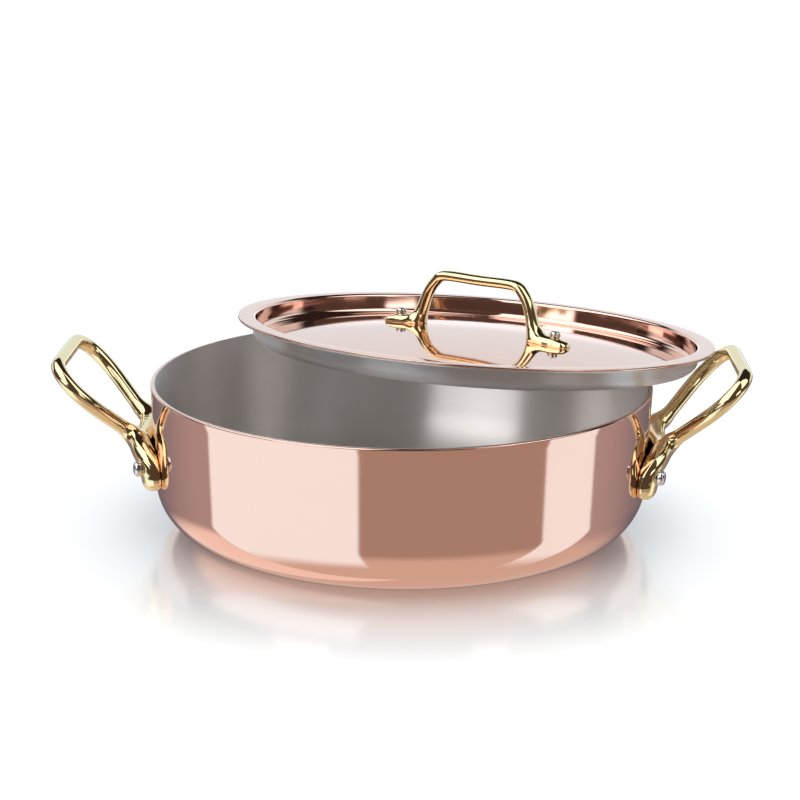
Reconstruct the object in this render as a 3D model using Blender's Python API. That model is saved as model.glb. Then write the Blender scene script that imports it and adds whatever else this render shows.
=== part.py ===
"""Copper braising pot with a loose lid, modelled in metres with +Z up.

The origin is the centre of the pot's underside, which stands on z = 0. The two side handles point
along -X and +X, and the viewer of the finished pot stands on the -Y side. The lid lies askew on the
pot, shifted to the right and to the back, and keeps its own tilted frame.
"""

import math

import bmesh
import bpy
from mathutils import Matrix, Vector

# Pot body
POT_RIM_RADIUS = 0.120
POT_HEIGHT = 0.0712
WALL_FOOT_RADIUS = 0.1182
BOTTOM_FILLET = 0.0242
POT_COPPER = 0.0012
POT_STEEL = 0.0005
RIM_ROUND = 0.0004

# Fit between pieces that touch on the real pot
FIT_GAP = 0.0003

# Side handles: a cast strap that runs up the wall, bends outwards and closes to a loop.
# Drops and rises are measured from the rim, reaches outwards from the rim, and spreads are
# the distances of the arms and lobes from the handle's middle plane.
HANDLE_REACH = 0.0408
HANDLE_RISE = 0.0098
HANDLE_BEND_DROP = 0.0365
HANDLE_BEND_RADIUS = 0.018
HANDLE_THICKNESS = 0.0068
HANDLE_NECK = 0.0035
ARM_WIDTH = 0.0074
ARM_NARROW_SPREAD = 0.0205
ARM_WIDE_SPREAD = 0.0345
ARM_WIDEST_SHARE = 0.66
ARM_FLARE = 0.9
LOOP_CORNER = 0.0106
LOOP_END_WIDTH = 0.0066

# The web closes the loop above the wall, and the skirt below it joins the two lobes.
# A share here is a part of the arms' narrow spread.
WEB_DROP = 0.0300
WEB_WIDTH = 0.0093
WEB_THICKNESS = 0.0062
WEB_SAG = 0.0010
WEB_STRAIGHT_SHARE = 0.5
ARM_ROOT_SHARE = 0.88
SKIRT_DROP = 0.0385
SKIRT_WIDTH = 0.0470
SKIRT_THICKNESS = 0.0049

# The lobes stand on the wall and hold the rivets. Each starts inside the loop's corner, at its root
# and its neck, which are above the web's middle line.
LOBE_WIDTH = 0.0130
LOBE_HEIGHT = 0.0082
LOBE_SPREAD = 0.0365
LOBE_DROP = 0.0354
LOBE_TIP_SPREAD = 0.0405
LOBE_TIP_DROP = 0.0462
LOBE_ROOT_RISE = 0.0065
LOBE_ROOT_SHARE = 0.82
LOBE_NECK_RISE = 0.0030
LOBE_NECK_SHARE = 0.99

# Rivets of the side handles
SIDE_RIVET_SHANK = 0.0025
SIDE_RIVET_HEAD = 0.0034
SIDE_RIVET_HEAD_HEIGHT = 0.0034
SIDE_RIVET_TAIL = 0.0045
SIDE_RIVET_TAIL_HEIGHT = 0.0012

# Shape of a rivet's head and tail, as shares of their heights and of the tail's radius
RIVET_COLLAR_SHARE = 0.35
RIVET_TAIL_EDGE_SHARE = 0.4
RIVET_TAIL_FLAT_SHARE = 0.75

# Lid: a flange that lies on the pot's rim, a wall that dips inside it, and a domed centre
LID_EDGE_INSET = 0.0010
LID_FLANGE_WIDTH = 0.0074
LID_WALL_SLOPE = 0.0007
LID_DEPTH = 0.0120
LID_FILLET = 0.0048
LID_DOME_RISE = 0.0085
LID_SHOULDER = 0.0015
LID_COPPER = 0.0008
LID_STEEL = 0.0005

# Where the lid lies: how far the centre of its flange is right of, behind and above the centre
# of the pot's rim, and how far its normal leans right and back
LID_SHIFT_RIGHT = 0.0358
LID_SHIFT_BACK = 0.0484
LID_LIFT = 0.0147
LID_LEAN_RIGHT = math.radians(3.12)
LID_LEAN_BACK = math.radians(4.68)

# Lid handle: a bow on two feet
BOW_TURN = math.radians(-31.0)
BOW_HEIGHT = 0.0284
BOW_TOP_HALF = 0.0244
BOW_BASE_HALF = 0.0316
BOW_THICKNESS = 0.0056
BOW_WIDTH = 0.0084
BOW_CORNER = 0.0070
BOW_HEEL = 0.0065
BOW_HEEL_THICKNESS = 0.0066
BOW_HEEL_LOW = 0.0007
BOW_HEEL_HIGH = 0.0036
BOW_HEEL_OUT = 0.0010
BOW_LEG_IN = 0.0016
BOW_LEG_HOLLOW = 0.0004
BOW_FOOT_BEFORE_RIVET = 0.0030
BOW_FOOT_THICKNESS = 0.0042
BOW_FOOT_WIDTH = 0.0110
BOW_FOOT_PAST_RIVET = 0.0036
BOW_FOOT_ROUND = 0.0048
LID_RIVET_HALF_SPACING = 0.0443
LID_RIVET_SHANK = 0.0019
LID_RIVET_HEAD = 0.0029
LID_RIVET_HEAD_HEIGHT = 0.0036
LID_RIVET_TAIL = 0.0036
LID_RIVET_TAIL_HEIGHT = 0.0010

# Facets of the round pieces
BODY_STEPS = 60
RIVET_STEPS = 12
STRAP_SIDES = 12
STRAP_ROUNDNESS = 3.2
RIVET_DOME_STEPS = 5
DOME_STEPS = 5
ARM_STEPS = 4

# Sizes that follow from the others
POT_WALL = POT_COPPER + FIT_GAP + POT_STEEL
LID_RADIUS = POT_RIM_RADIUS - LID_EDGE_INSET
LID_WALL_RADIUS = LID_RADIUS - LID_FLANGE_WIDTH
LID_CENTRE = (LID_SHIFT_RIGHT, LID_SHIFT_BACK, POT_HEIGHT + LID_LIFT)
LID_SHEET = LID_COPPER + FIT_GAP + LID_STEEL
WALL_TAPER = math.atan2(POT_RIM_RADIUS - WALL_FOOT_RADIUS, POT_HEIGHT - BOTTOM_FILLET)


def make_material(name, colour, roughness):
    """A polished or brushed metal as a Principled BSDF."""
    material = bpy.data.materials.new(name)
    material.use_nodes = True
    shader = material.node_tree.nodes["Principled BSDF"]
    shader.inputs["Base Color"].default_value = (*colour, 1.0)
    shader.inputs["Metallic"].default_value = 1.0
    shader.inputs["Roughness"].default_value = roughness
    material.diffuse_color = (*colour, 1.0)
    return material


def add_object(name, bm, material, parent=None):
    """Turn a bmesh into a smooth shaded object, placed in its parent's frame."""
    bmesh.ops.recalc_face_normals(bm, faces=bm.faces)
    mesh = bpy.data.meshes.new(name)
    bm.to_mesh(mesh)
    bm.free()
    mesh.shade_smooth()
    mesh.set_sharp_from_angle(angle=math.radians(40.0))
    obj = bpy.data.objects.new(name, mesh)
    bpy.context.collection.objects.link(obj)
    if material is not None:
        mesh.materials.append(material)
    obj.parent = parent
    return obj


def hide_tool(obj):
    """Mark an object as a cutter that is not a piece of the pot."""
    obj.hide_render = True
    obj.display_type = "WIRE"
    return obj


def boolean(obj, tool, operation):
    """Cut the tool from the object, or join it to the object."""
    modifier = obj.modifiers.new(f"{operation.lower()} {tool.name}", "BOOLEAN")
    modifier.operation = operation
    modifier.solver = "EXACT"
    modifier.object = tool


def arc(centre, radius, start, end, steps):
    """Points on an arc, with angles in degrees from +X towards +Y."""
    angles = [math.radians(start + (end - start) * i / steps) for i in range(steps + 1)]
    return [(centre[0] + radius * math.cos(a), centre[1] + radius * math.sin(a)) for a in angles]


def lathe(profile, steps):
    """Turn a closed outline of (radius, height) points around Z into one closed solid.

    A point on the axis becomes a single vertex.
    """
    bm = bmesh.new()
    rings = []
    for radius, height in profile:
        if radius < 1e-7:
            rings.append([bm.verts.new((0.0, 0.0, height))])
            continue
        rings.append([
            bm.verts.new((radius * math.cos(angle), radius * math.sin(angle), height))
            for angle in (2.0 * math.pi * i / steps for i in range(steps))
        ])
    for ring, following in zip(rings, rings[1:] + rings[:1]):
        if len(ring) == 1 and len(following) == 1:
            continue
        for i in range(steps):
            j = (i + 1) % steps
            if len(ring) == 1:
                bm.faces.new((ring[0], following[i], following[j]))
            elif len(following) == 1:
                bm.faces.new((ring[i], ring[j], following[0]))
            else:
                bm.faces.new((ring[i], ring[j], following[j], following[i]))
    return bm


def wall_radius(height, inset=0.0):
    """Radius of the pot's tapered wall at a height above its underside, less an inset."""
    share = (height - BOTTOM_FILLET) / (POT_HEIGHT - BOTTOM_FILLET)
    return WALL_FOOT_RADIUS + (POT_RIM_RADIUS - WALL_FOOT_RADIUS) * share - inset


def pot_line(inset):
    """The pot's outline from the axis to the rim, moved inwards from the outer face by an inset."""
    fillet = BOTTOM_FILLET - inset
    centre = (WALL_FOOT_RADIUS - BOTTOM_FILLET, BOTTOM_FILLET)
    return [(0.0, inset)] + arc(centre, fillet, -90.0, 0.0, 6)


def pot_sheet(outer_inset, thickness, top):
    """One sheet of the pot: a round tray between two insets from the outer face."""
    outer = pot_line(outer_inset)
    inner = pot_line(outer_inset + thickness)
    round_in = min(RIM_ROUND, thickness / 3.0)
    rim = [
        (wall_radius(top - round_in, outer_inset), top - round_in),
        (wall_radius(top, outer_inset + round_in), top),
        (wall_radius(top, outer_inset + thickness - round_in), top),
        (wall_radius(top - round_in, outer_inset + thickness), top - round_in),
    ]
    return lathe(outer + rim + inner[::-1], BODY_STEPS)


def smooth_line(points, steps):
    """A Catmull-Rom curve through points of any dimension, with steps between each two of them."""
    line = []
    ends = [points[0]] + list(points) + [points[-1]]
    for k in range(len(points) - 1):
        p0, p1, p2, p3 = ends[k:k + 4]
        for i in range(steps):
            t = i / steps
            line.append(tuple(
                0.5 * (2 * b + (c - a) * t + (2 * a - 5 * b + 4 * c - d) * t * t
                       + (3 * b - a - 3 * c + d) * t ** 3)
                for a, b, c, d in zip(p0, p1, p2, p3)
            ))
    line.append(tuple(points[-1]))
    return line


class StrapBend:
    """The side view of a side handle: up along the wall, round a bend, then straight to the loop's end.

    A strap coordinate runs along this line, and is 0 where the bend starts.
    """

    def __init__(self):
        start_height = POT_HEIGHT - HANDLE_BEND_DROP
        start = Vector((wall_radius(start_height) + FIT_GAP + HANDLE_THICKNESS / 2.0, start_height))
        end = Vector((POT_RIM_RADIUS + HANDLE_REACH, POT_HEIGHT + HANDLE_RISE))
        self.start = start
        self.up = Vector((math.sin(WALL_TAPER), math.cos(WALL_TAPER)))
        self.centre = start + HANDLE_BEND_RADIUS * Vector((self.up.y, -self.up.x))
        chord = end - self.centre
        straight = math.sqrt(chord.length ** 2 - HANDLE_BEND_RADIUS ** 2)
        slope = math.atan2(chord.y, chord.x) - math.atan2(HANDLE_BEND_RADIUS, straight)
        self.bend_length = HANDLE_BEND_RADIUS * (math.pi / 2.0 - WALL_TAPER - slope)
        self.length = self.bend_length + straight

    def point(self, along):
        """The place and the outward normal of the side line at a strap coordinate."""
        if along <= 0.0:
            return self.start + along * self.up, Vector((self.up.y, -self.up.x))
        angle = math.pi / 2.0 - WALL_TAPER - min(along, self.bend_length) / HANDLE_BEND_RADIUS
        tangent = Vector((math.cos(angle), math.sin(angle)))
        normal = Vector((tangent.y, -tangent.x))
        place = self.centre - HANDLE_BEND_RADIUS * normal
        return place + max(along - self.bend_length, 0.0) * tangent, normal

    def along_at_drop(self, drop):
        """The strap coordinate on the wall or in the bend at a drop below the rim."""
        rise = (POT_HEIGHT - drop - self.start.y) / self.up.y
        if rise <= 0.0:
            return rise
        return HANDLE_BEND_RADIUS * math.asin(min(rise / HANDLE_BEND_RADIUS, 1.0))

    def place(self, along, across, off):
        """A point of the handle in the pot's frame, for the handle on the +X side.

        Near the wall the strap follows the wall's round, and that fades out along the bend.
        """
        place, normal = self.point(along)
        place = place + off * normal
        fade = min(max(along / HANDLE_BEND_RADIUS, 0.0), 1.0)
        follow = 1.0 - fade * fade * (3.0 - 2.0 * fade)
        radius = place.x
        angle = across / radius
        return Vector((
            follow * radius * math.cos(angle) + (1.0 - follow) * radius,
            follow * radius * math.sin(angle) + (1.0 - follow) * across,
            place.y,
        ))


def strap_section(width, thickness):
    """A box section with rounded flanks: points (across, off) around the strap's middle."""
    points = []
    for i in range(STRAP_SIDES):
        angle = 2.0 * math.pi * (i + 0.5) / STRAP_SIDES
        c, s = math.cos(angle), math.sin(angle)
        bulge = (abs(c) ** STRAP_ROUNDNESS + abs(s) ** STRAP_ROUNDNESS) ** (-1.0 / STRAP_ROUNDNESS)
        points.append((width / 2.0 * c * bulge, thickness / 2.0 * s * bulge))
    return points


def sweep_strap(bend, line, closed):
    """Carry the section along a line of (along, across, width, thickness) on the bent strap."""
    bm = bmesh.new()
    rings = []
    count = len(line)
    for k, (along, across, width, thickness) in enumerate(line):
        before = line[k - 1] if closed or k > 0 else line[k]
        after = line[(k + 1) % count] if closed or k < count - 1 else line[k]
        tangent = Vector((after[0] - before[0], after[1] - before[1])).normalized()
        side = Vector((-tangent.y, tangent.x))
        rings.append([
            bm.verts.new(bend.place(along + c * side.x, across + c * side.y, off))
            for c, off in strap_section(width, thickness)
        ])
    pairs = zip(rings, rings[1:] + rings[:1]) if closed else zip(rings, rings[1:])
    for ring, following in pairs:
        for i in range(STRAP_SIDES):
            j = (i + 1) % STRAP_SIDES
            bm.faces.new((ring[i], ring[j], following[j], following[i]))
    if not closed:
        bm.faces.new(rings[0][::-1])
        bm.faces.new(rings[-1])
    return bm


def arm_spread(share):
    """Distance of an arm from the middle plane, at a share of its way to the loop's widest place."""
    flare = share + ARM_FLARE * share * share * (1.0 - share)
    return ARM_NARROW_SPREAD + flare * (ARM_WIDE_SPREAD - ARM_NARROW_SPREAD)


def loop_line(bend):
    """The closed middle line of a handle's loop: web, arm, end bar and the other arm."""
    web = bend.along_at_drop(WEB_DROP)
    neck = bend.bend_length + HANDLE_NECK
    wide = neck + ARM_WIDEST_SHARE * (bend.length - neck)
    corner = arc((bend.length - LOOP_CORNER, ARM_WIDE_SPREAD - LOOP_CORNER), LOOP_CORNER, 90.0, 0.0, 3)
    half = [
        (web, 0.0, WEB_WIDTH, WEB_THICKNESS),
        (web + WEB_SAG, WEB_STRAIGHT_SHARE * ARM_NARROW_SPREAD, WEB_WIDTH, WEB_THICKNESS),
        (0.5 * (web + neck), ARM_ROOT_SHARE * ARM_NARROW_SPREAD, ARM_WIDTH, HANDLE_THICKNESS),
    ]
    for step in range(ARM_STEPS + 1):
        share = step / ARM_STEPS
        half.append((neck + share * (wide - neck), arm_spread(share), ARM_WIDTH, HANDLE_THICKNESS))
    half.append((*corner[0], ARM_WIDTH, HANDLE_THICKNESS))
    half.extend((*point, LOOP_END_WIDTH, HANDLE_THICKNESS) for point in corner[1:])
    half.append((bend.length, 0.0, LOOP_END_WIDTH, HANDLE_THICKNESS))
    other = [(along, -across, width, thickness) for along, across, width, thickness in half[-2:0:-1]]
    points = half + other
    ring = [points[-1]] + points + points[:2]
    return smooth_line(ring, 2)[2:-4]


def skirt_line(bend):
    """The middle line of the thin skirt below the web, which joins the two lobes.

    Each station has its share of the way up and its shares of the full width and thickness.
    """
    low = bend.along_at_drop(SKIRT_DROP)
    web = bend.along_at_drop(WEB_DROP)
    stations = [(0.0, 1.0, 0.8), (0.3, 1.0, 1.0), (0.7, 0.92, 1.0), (1.0, 0.80, 1.0)]
    return [
        (low + up * (web - low), 0.0, width * SKIRT_WIDTH, thick * SKIRT_THICKNESS)
        for up, width, thick in stations
    ]


def lobe_line(bend, side):
    """The middle line of one lobe, from inside the loop's corner down to its tip on the wall.

    Each station has its place on the strap and its shares of the lobe's full width and thickness.
    """
    web = bend.along_at_drop(WEB_DROP)
    root = Vector((web + LOBE_ROOT_RISE, LOBE_ROOT_SHARE * ARM_NARROW_SPREAD))
    neck = Vector((web + LOBE_NECK_RISE, LOBE_NECK_SHARE * ARM_NARROW_SPREAD))
    rivet = Vector((bend.along_at_drop(LOBE_DROP), LOBE_SPREAD))
    tip = Vector((bend.along_at_drop(LOBE_TIP_DROP), LOBE_TIP_SPREAD))
    stations = [
        (root, 0.38, 0.50),
        (neck, 0.75, 0.89),
        (neck.lerp(rivet, 0.55), 0.90, 1.08),
        (rivet, 1.00, 1.00),
        (rivet.lerp(tip, 0.50), 0.95, 0.96),
        (rivet.lerp(tip, 0.82), 0.74, 0.80),
        (tip, 0.34, 0.45),
    ]
    full = 2.0 * (LOBE_HEIGHT - HANDLE_THICKNESS / 2.0)
    return smooth_line(
        [(at.x, side * at.y, width * LOBE_WIDTH, thick * full) for at, width, thick in stations], 2)


def turned(obj, half_turn):
    """Turn an object by half a turn about Z, which takes it from the +X to the -X side."""
    if half_turn:
        obj.matrix_basis = Matrix.Rotation(math.pi, 4, "Z") @ obj.matrix_basis
    return obj


def rivet_frame(radius_at, height, spread):
    """A frame on the pot's outer wall whose +Z is the wall's outward normal, on the +X side."""
    angle = spread / radius_at
    outward = Vector((
        math.cos(angle) * math.cos(WALL_TAPER),
        math.sin(angle) * math.cos(WALL_TAPER),
        -math.sin(WALL_TAPER),
    ))
    place = Vector((radius_at * math.cos(angle), radius_at * math.sin(angle), height))
    return Matrix.Translation(place) @ outward.to_track_quat("Z", "Y").to_matrix().to_4x4()


def rivet_profile(shank, head, head_height, tail, tail_height, low, high):
    """Outline of a rivet along its axis, with a flat tail below and a domed head above."""
    collar = RIVET_COLLAR_SHARE * head_height
    dome = [
        (head * math.cos(angle), high + collar + (head_height - collar) * math.sin(angle))
        for angle in (math.pi / 2.0 * i / RIVET_DOME_STEPS for i in range(RIVET_DOME_STEPS))
    ]
    return [
        (0.0, low - tail_height),
        (RIVET_TAIL_FLAT_SHARE * tail, low - tail_height),
        (tail, low - RIVET_TAIL_EDGE_SHARE * tail_height),
        (tail, low),
        (shank, low),
        (shank, high),
        (head, high),
        *dome,
        (0.0, high + head_height),
    ]


def hole_profile(shank, head, low, high):
    """Outline of a rivet's hole along its axis, with a flat seat that is wide enough for the head."""
    bore = shank + FIT_GAP
    seat = head + FIT_GAP
    face = high - FIT_GAP
    foot = low - 2.0 * head
    top = face + 2.0 * head
    return [(0.0, foot), (bore, foot), (bore, face), (seat, face), (seat, top), (0.0, top)]


def lid_line(inset, end_radius):
    """The lid's outline from its axis to the flange, moved down from the top face by an inset.

    The centre is domed, the trough runs round it, and the wall rises from there to the flange.
    """
    trough = -(LID_DEPTH - LID_SHEET) - inset
    wall_top = LID_WALL_RADIUS - LID_SHEET + inset
    wall_foot = wall_top - LID_WALL_SLOPE
    slope = math.atan2(LID_WALL_SLOPE, LID_DEPTH)
    fillet = LID_FILLET + LID_SHEET - inset
    edge = wall_foot - fillet
    centre = (edge, trough + fillet)
    dome = [
        (edge * i / DOME_STEPS, trough + LID_DOME_RISE * (1.0 - (i / DOME_STEPS) ** 2))
        for i in range(DOME_STEPS)
    ]
    corner = LID_SHOULDER + inset
    shoulder = (wall_top + corner, -inset - corner)
    return (
        dome
        + arc(centre, fillet, -90.0, -math.degrees(slope), 3)
        + arc(shoulder, corner, 180.0, 90.0, 2)
        + [(end_radius, -inset)]
    )


def lid_height(radius, inset=0.0):
    """Height of the lid's domed centre at a radius, moved down from the top face by an inset."""
    trough = -(LID_DEPTH - LID_SHEET) - inset
    edge = LID_WALL_RADIUS - LID_WALL_SLOPE - LID_FILLET - 2.0 * (LID_SHEET - inset)
    return trough + LID_DOME_RISE * (1.0 - (radius / edge) ** 2)


def lid_slope(radius):
    """How far the lid's domed centre leans outwards at a radius, as an angle."""
    step = 0.001
    return math.atan2(lid_height(radius - step) - lid_height(radius + step), 2.0 * step)


def lid_sheet(inset, thickness):
    """One sheet of the lid between two insets from its top face."""
    upper = lid_line(inset, LID_RADIUS)
    lower = lid_line(inset + thickness, LID_RADIUS)
    return lathe(upper + lower[::-1], BODY_STEPS)


def lid_frame():
    """The lid's frame: the centre of its flange, with +Z along its leaning normal."""
    normal = Vector((math.tan(LID_LEAN_RIGHT), math.tan(LID_LEAN_BACK), 1.0)).normalized()
    right = Vector((0.0, 1.0, 0.0)).cross(normal).normalized()
    back = normal.cross(right)
    rotation = Matrix((right, back, normal)).transposed().to_4x4()
    return Matrix.Translation(Vector(LID_CENTRE)) @ rotation


def bow_line():
    """Half of the bow's middle line, from its foot's round end to the middle of its bar.

    Each point is (out along the bow, height, width, thickness) over the feet's underside. The foot's
    end is round in plan and thins out, and the leg leans in and is a little hollow on its outside.
    """
    foot = BOW_FOOT_THICKNESS / 2.0
    top = BOW_HEIGHT - BOW_THICKNESS / 2.0
    end = LID_RIVET_HALF_SPACING + BOW_FOOT_PAST_RIVET
    points = []
    for angle in (math.radians(75.0), math.radians(42.0), 0.0):
        taper = 0.35 + 0.65 * math.cos(angle)
        out = end + BOW_FOOT_ROUND * math.sin(angle)
        points.append((out, foot, BOW_FOOT_WIDTH * math.cos(angle), BOW_FOOT_THICKNESS * taper))
    points += [
        (LID_RIVET_HALF_SPACING - BOW_FOOT_BEFORE_RIVET, foot, BOW_FOOT_WIDTH, BOW_FOOT_THICKNESS),
        (BOW_BASE_HALF + BOW_HEEL, foot + BOW_HEEL_LOW, 0.95 * BOW_FOOT_WIDTH, 0.75 * BOW_HEEL_THICKNESS),
        (BOW_BASE_HALF + BOW_HEEL_OUT, foot + BOW_HEEL_HIGH, 0.90 * BOW_FOOT_WIDTH, BOW_HEEL_THICKNESS),
        (BOW_BASE_HALF - BOW_LEG_IN, 0.40 * top, BOW_WIDTH, 1.10 * BOW_THICKNESS),
        (0.5 * (BOW_BASE_HALF + BOW_TOP_HALF) - BOW_LEG_HOLLOW, 0.70 * top, BOW_WIDTH, BOW_THICKNESS),
        (BOW_TOP_HALF - BOW_CORNER / 7.0, top - 0.35 * BOW_CORNER, BOW_WIDTH, BOW_THICKNESS),
        (BOW_TOP_HALF - 0.70 * BOW_CORNER, top, BOW_WIDTH, BOW_THICKNESS),
        (0.0, top, BOW_WIDTH, BOW_THICKNESS),
    ]
    return points


def lid_bow():
    """The lid handle's solid in the lid's frame, standing on the domed centre."""
    half = bow_line()
    other = [(-out, up, width, thickness) for out, up, width, thickness in half[-2::-1]]
    line = smooth_line(half + other, 2)
    line = [
        (out, lid_height(max(abs(out), BOW_BASE_HALF)) + FIT_GAP + up, width, thickness)
        for out, up, width, thickness in line
    ]
    turn = Matrix.Rotation(BOW_TURN, 3, "Z")
    bm = bmesh.new()
    rings = []
    for k, (out, up, width, thickness) in enumerate(line):
        before = line[max(k - 1, 0)]
        after = line[min(k + 1, len(line) - 1)]
        tangent = Vector((after[0] - before[0], after[1] - before[1])).normalized()
        normal = Vector((-tangent.y, tangent.x))
        rings.append([
            bm.verts.new(turn @ Vector((out + off * normal.x, across, up + off * normal.y)))
            for across, off in strap_section(width, thickness)
        ])
    for ring, following in zip(rings, rings[1:]):
        for i in range(STRAP_SIDES):
            j = (i + 1) % STRAP_SIDES
            bm.faces.new((ring[i], ring[j], following[j], following[i]))
    bm.faces.new(rings[0][::-1])
    bm.faces.new(rings[-1])
    return bm


def build_pot(copper, steel):
    """The two bonded sheets of the pot's body."""
    shell = add_object("pot_copper_shell", pot_sheet(0.0, POT_COPPER, POT_HEIGHT), copper)
    lining_inset = POT_COPPER + FIT_GAP
    lining = add_object("pot_steel_lining", pot_sheet(lining_inset, POT_STEEL, POT_HEIGHT), steel)
    return shell, lining


def wall_cutter(name):
    """A solid that fills the pot and leaves a handle its clearance from the wall."""
    low = BOTTOM_FILLET / 2.0
    profile = [
        (0.0, low),
        (wall_radius(low, -FIT_GAP), low),
        (wall_radius(POT_HEIGHT, -FIT_GAP), POT_HEIGHT),
        (0.0, POT_HEIGHT),
    ]
    return hide_tool(add_object(name, lathe(profile, 4 * BODY_STEPS), None))


def build_side_handle(name, half_turn, brass):
    """One side handle: its loop, joined to two lobes and a skirt and cut off at the wall."""
    bend = StrapBend()
    handle = turned(add_object(name, sweep_strap(bend, loop_line(bend), True), brass), half_turn)
    parts = {
        "right_lobe": lobe_line(bend, -1),
        "left_lobe": lobe_line(bend, 1),
        "skirt": skirt_line(bend),
    }
    for label, line in parts.items():
        part = turned(add_object(f"{name}_{label}", sweep_strap(bend, line, False), None), half_turn)
        boolean(handle, hide_tool(part), "UNION")
    boolean(handle, wall_cutter(f"{name}_wall_cutter"), "DIFFERENCE")
    return handle


def build_side_rivets(handle, half_turn, steel, sheets):
    """The two rivets of a side handle, and their holes in the handle and the pot's sheets."""
    height = POT_HEIGHT - LOBE_DROP
    radius = wall_radius(height)
    low = -POT_WALL - FIT_GAP
    high = FIT_GAP + LOBE_HEIGHT + FIT_GAP
    for side, label in ((-1, "front"), (1, "back")):
        frame = rivet_frame(radius, height, side * LOBE_SPREAD)
        profile = rivet_profile(
            SIDE_RIVET_SHANK, SIDE_RIVET_HEAD, SIDE_RIVET_HEAD_HEIGHT,
            SIDE_RIVET_TAIL, SIDE_RIVET_TAIL_HEIGHT, low, high)
        cut = hole_profile(SIDE_RIVET_SHANK, SIDE_RIVET_HEAD, low, high)
        if half_turn:
            label = {"front": "back", "back": "front"}[label]
        rivet = add_object(f"{handle.name}_rivet_{label}", lathe(profile, RIVET_STEPS), steel)
        hole = add_object(f"{handle.name}_hole_{label}", lathe(cut, RIVET_STEPS), None)
        for piece in (rivet, hole):
            piece.matrix_basis = frame
            turned(piece, half_turn)
        for piece in (handle, *sheets):
            boolean(piece, hide_tool(hole), "DIFFERENCE")


def build_lid(copper, steel, brass, rivet_steel):
    """The lid's two sheets, its bow handle and the two rivets, in the lid's leaning frame."""
    frame = bpy.data.objects.new("lid_frame", None)
    bpy.context.collection.objects.link(frame)
    frame.matrix_basis = lid_frame()
    cover = add_object("lid_copper_cover", lid_sheet(0.0, LID_COPPER), copper, frame)
    lining = add_object("lid_steel_lining", lid_sheet(LID_COPPER + FIT_GAP, LID_STEEL), steel, frame)
    bow = add_object("lid_handle", lid_bow(), brass, frame)
    seat = lid_height(LID_RIVET_HALF_SPACING)
    high = FIT_GAP + BOW_FOOT_THICKNESS + FIT_GAP
    low = -LID_SHEET - 2.0 * FIT_GAP
    for side, label in ((-1, "left"), (1, "right")):
        out = side * LID_RIVET_HALF_SPACING
        place = Matrix.Rotation(BOW_TURN, 4, "Z") @ Matrix.Translation((out, 0.0, seat))
        place = place @ Matrix.Rotation(side * lid_slope(LID_RIVET_HALF_SPACING), 4, "Y")
        profile = rivet_profile(
            LID_RIVET_SHANK, LID_RIVET_HEAD, LID_RIVET_HEAD_HEIGHT,
            LID_RIVET_TAIL, LID_RIVET_TAIL_HEIGHT, low, high)
        rivet = add_object(f"lid_rivet_{label}", lathe(profile, RIVET_STEPS), rivet_steel, frame)
        rivet.matrix_basis = place
        cut = hole_profile(LID_RIVET_SHANK, LID_RIVET_HEAD, low, high)
        hole = add_object(f"lid_hole_{label}", lathe(cut, RIVET_STEPS), None, frame)
        hole.matrix_basis = place
        for piece in (cover, lining, bow):
            boolean(piece, hide_tool(hole), "DIFFERENCE")


def main():
    """Clear the scene and build the pot and its lid."""
    for obj in list(bpy.data.objects):
        bpy.data.objects.remove(obj, do_unlink=True)
    copper = make_material("polished_copper", (0.86, 0.52, 0.40), 0.10)
    steel = make_material("brushed_steel", (0.62, 0.60, 0.58), 0.35)
    brass = make_material("polished_brass", (0.85, 0.66, 0.32), 0.12)
    rivet_steel = make_material("rivet_steel", (0.80, 0.79, 0.77), 0.20)
    sheets = build_pot(copper, steel)
    for name, half_turn in (("right_handle", False), ("left_handle", True)):
        handle = build_side_handle(name, half_turn, brass)
        build_side_rivets(handle, half_turn, rivet_steel, sheets)
    build_lid(copper, steel, brass, rivet_steel)


main()
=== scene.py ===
"""Looks of a copper braising pot with a loose lid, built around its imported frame.

Everything is in metres with +Z up. The origin is the centre of the pot's underside, the side handles
point along -X and +X, and the viewer stands on the -Y side. The lid keeps its own leaning frame.
"""

from __future__ import annotations

import logging
import math
from dataclasses import dataclass
from enum import Enum
from typing import Callable

import bpy
import numpy as np
from mathutils import Matrix, Vector

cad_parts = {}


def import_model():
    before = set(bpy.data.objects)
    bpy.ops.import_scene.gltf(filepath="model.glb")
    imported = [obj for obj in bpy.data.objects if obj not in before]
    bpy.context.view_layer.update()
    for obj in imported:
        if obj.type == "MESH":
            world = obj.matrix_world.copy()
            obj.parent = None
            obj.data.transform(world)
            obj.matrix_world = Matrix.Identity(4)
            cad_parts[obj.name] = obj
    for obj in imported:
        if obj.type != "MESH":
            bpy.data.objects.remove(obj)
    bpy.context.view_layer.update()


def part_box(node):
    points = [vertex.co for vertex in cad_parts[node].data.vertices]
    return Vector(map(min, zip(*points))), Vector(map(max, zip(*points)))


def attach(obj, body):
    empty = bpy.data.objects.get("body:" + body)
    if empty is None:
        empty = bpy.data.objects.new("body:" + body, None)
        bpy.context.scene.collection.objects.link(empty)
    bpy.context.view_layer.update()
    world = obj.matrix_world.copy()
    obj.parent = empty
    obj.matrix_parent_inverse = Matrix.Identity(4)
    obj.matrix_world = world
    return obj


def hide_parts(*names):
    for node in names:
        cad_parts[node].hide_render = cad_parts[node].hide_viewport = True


LOG = logging.getLogger("braising_pot")

Points = np.ndarray
Faces = np.ndarray
Place = Callable[[Points, Points, Points], Points]

# Fit of the finished surfaces: sheets that are bonded, castings that stand on a sheet, and the
# small round where a sheet cuts a casting
BOND = 0.00002
SEAT = 0.00006
CUT_ROUND = 0.0003

# Metres of noise that one radian of a turned mark takes up, little enough to draw the marks out long
TURNED_STRETCH = 0.004

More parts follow.
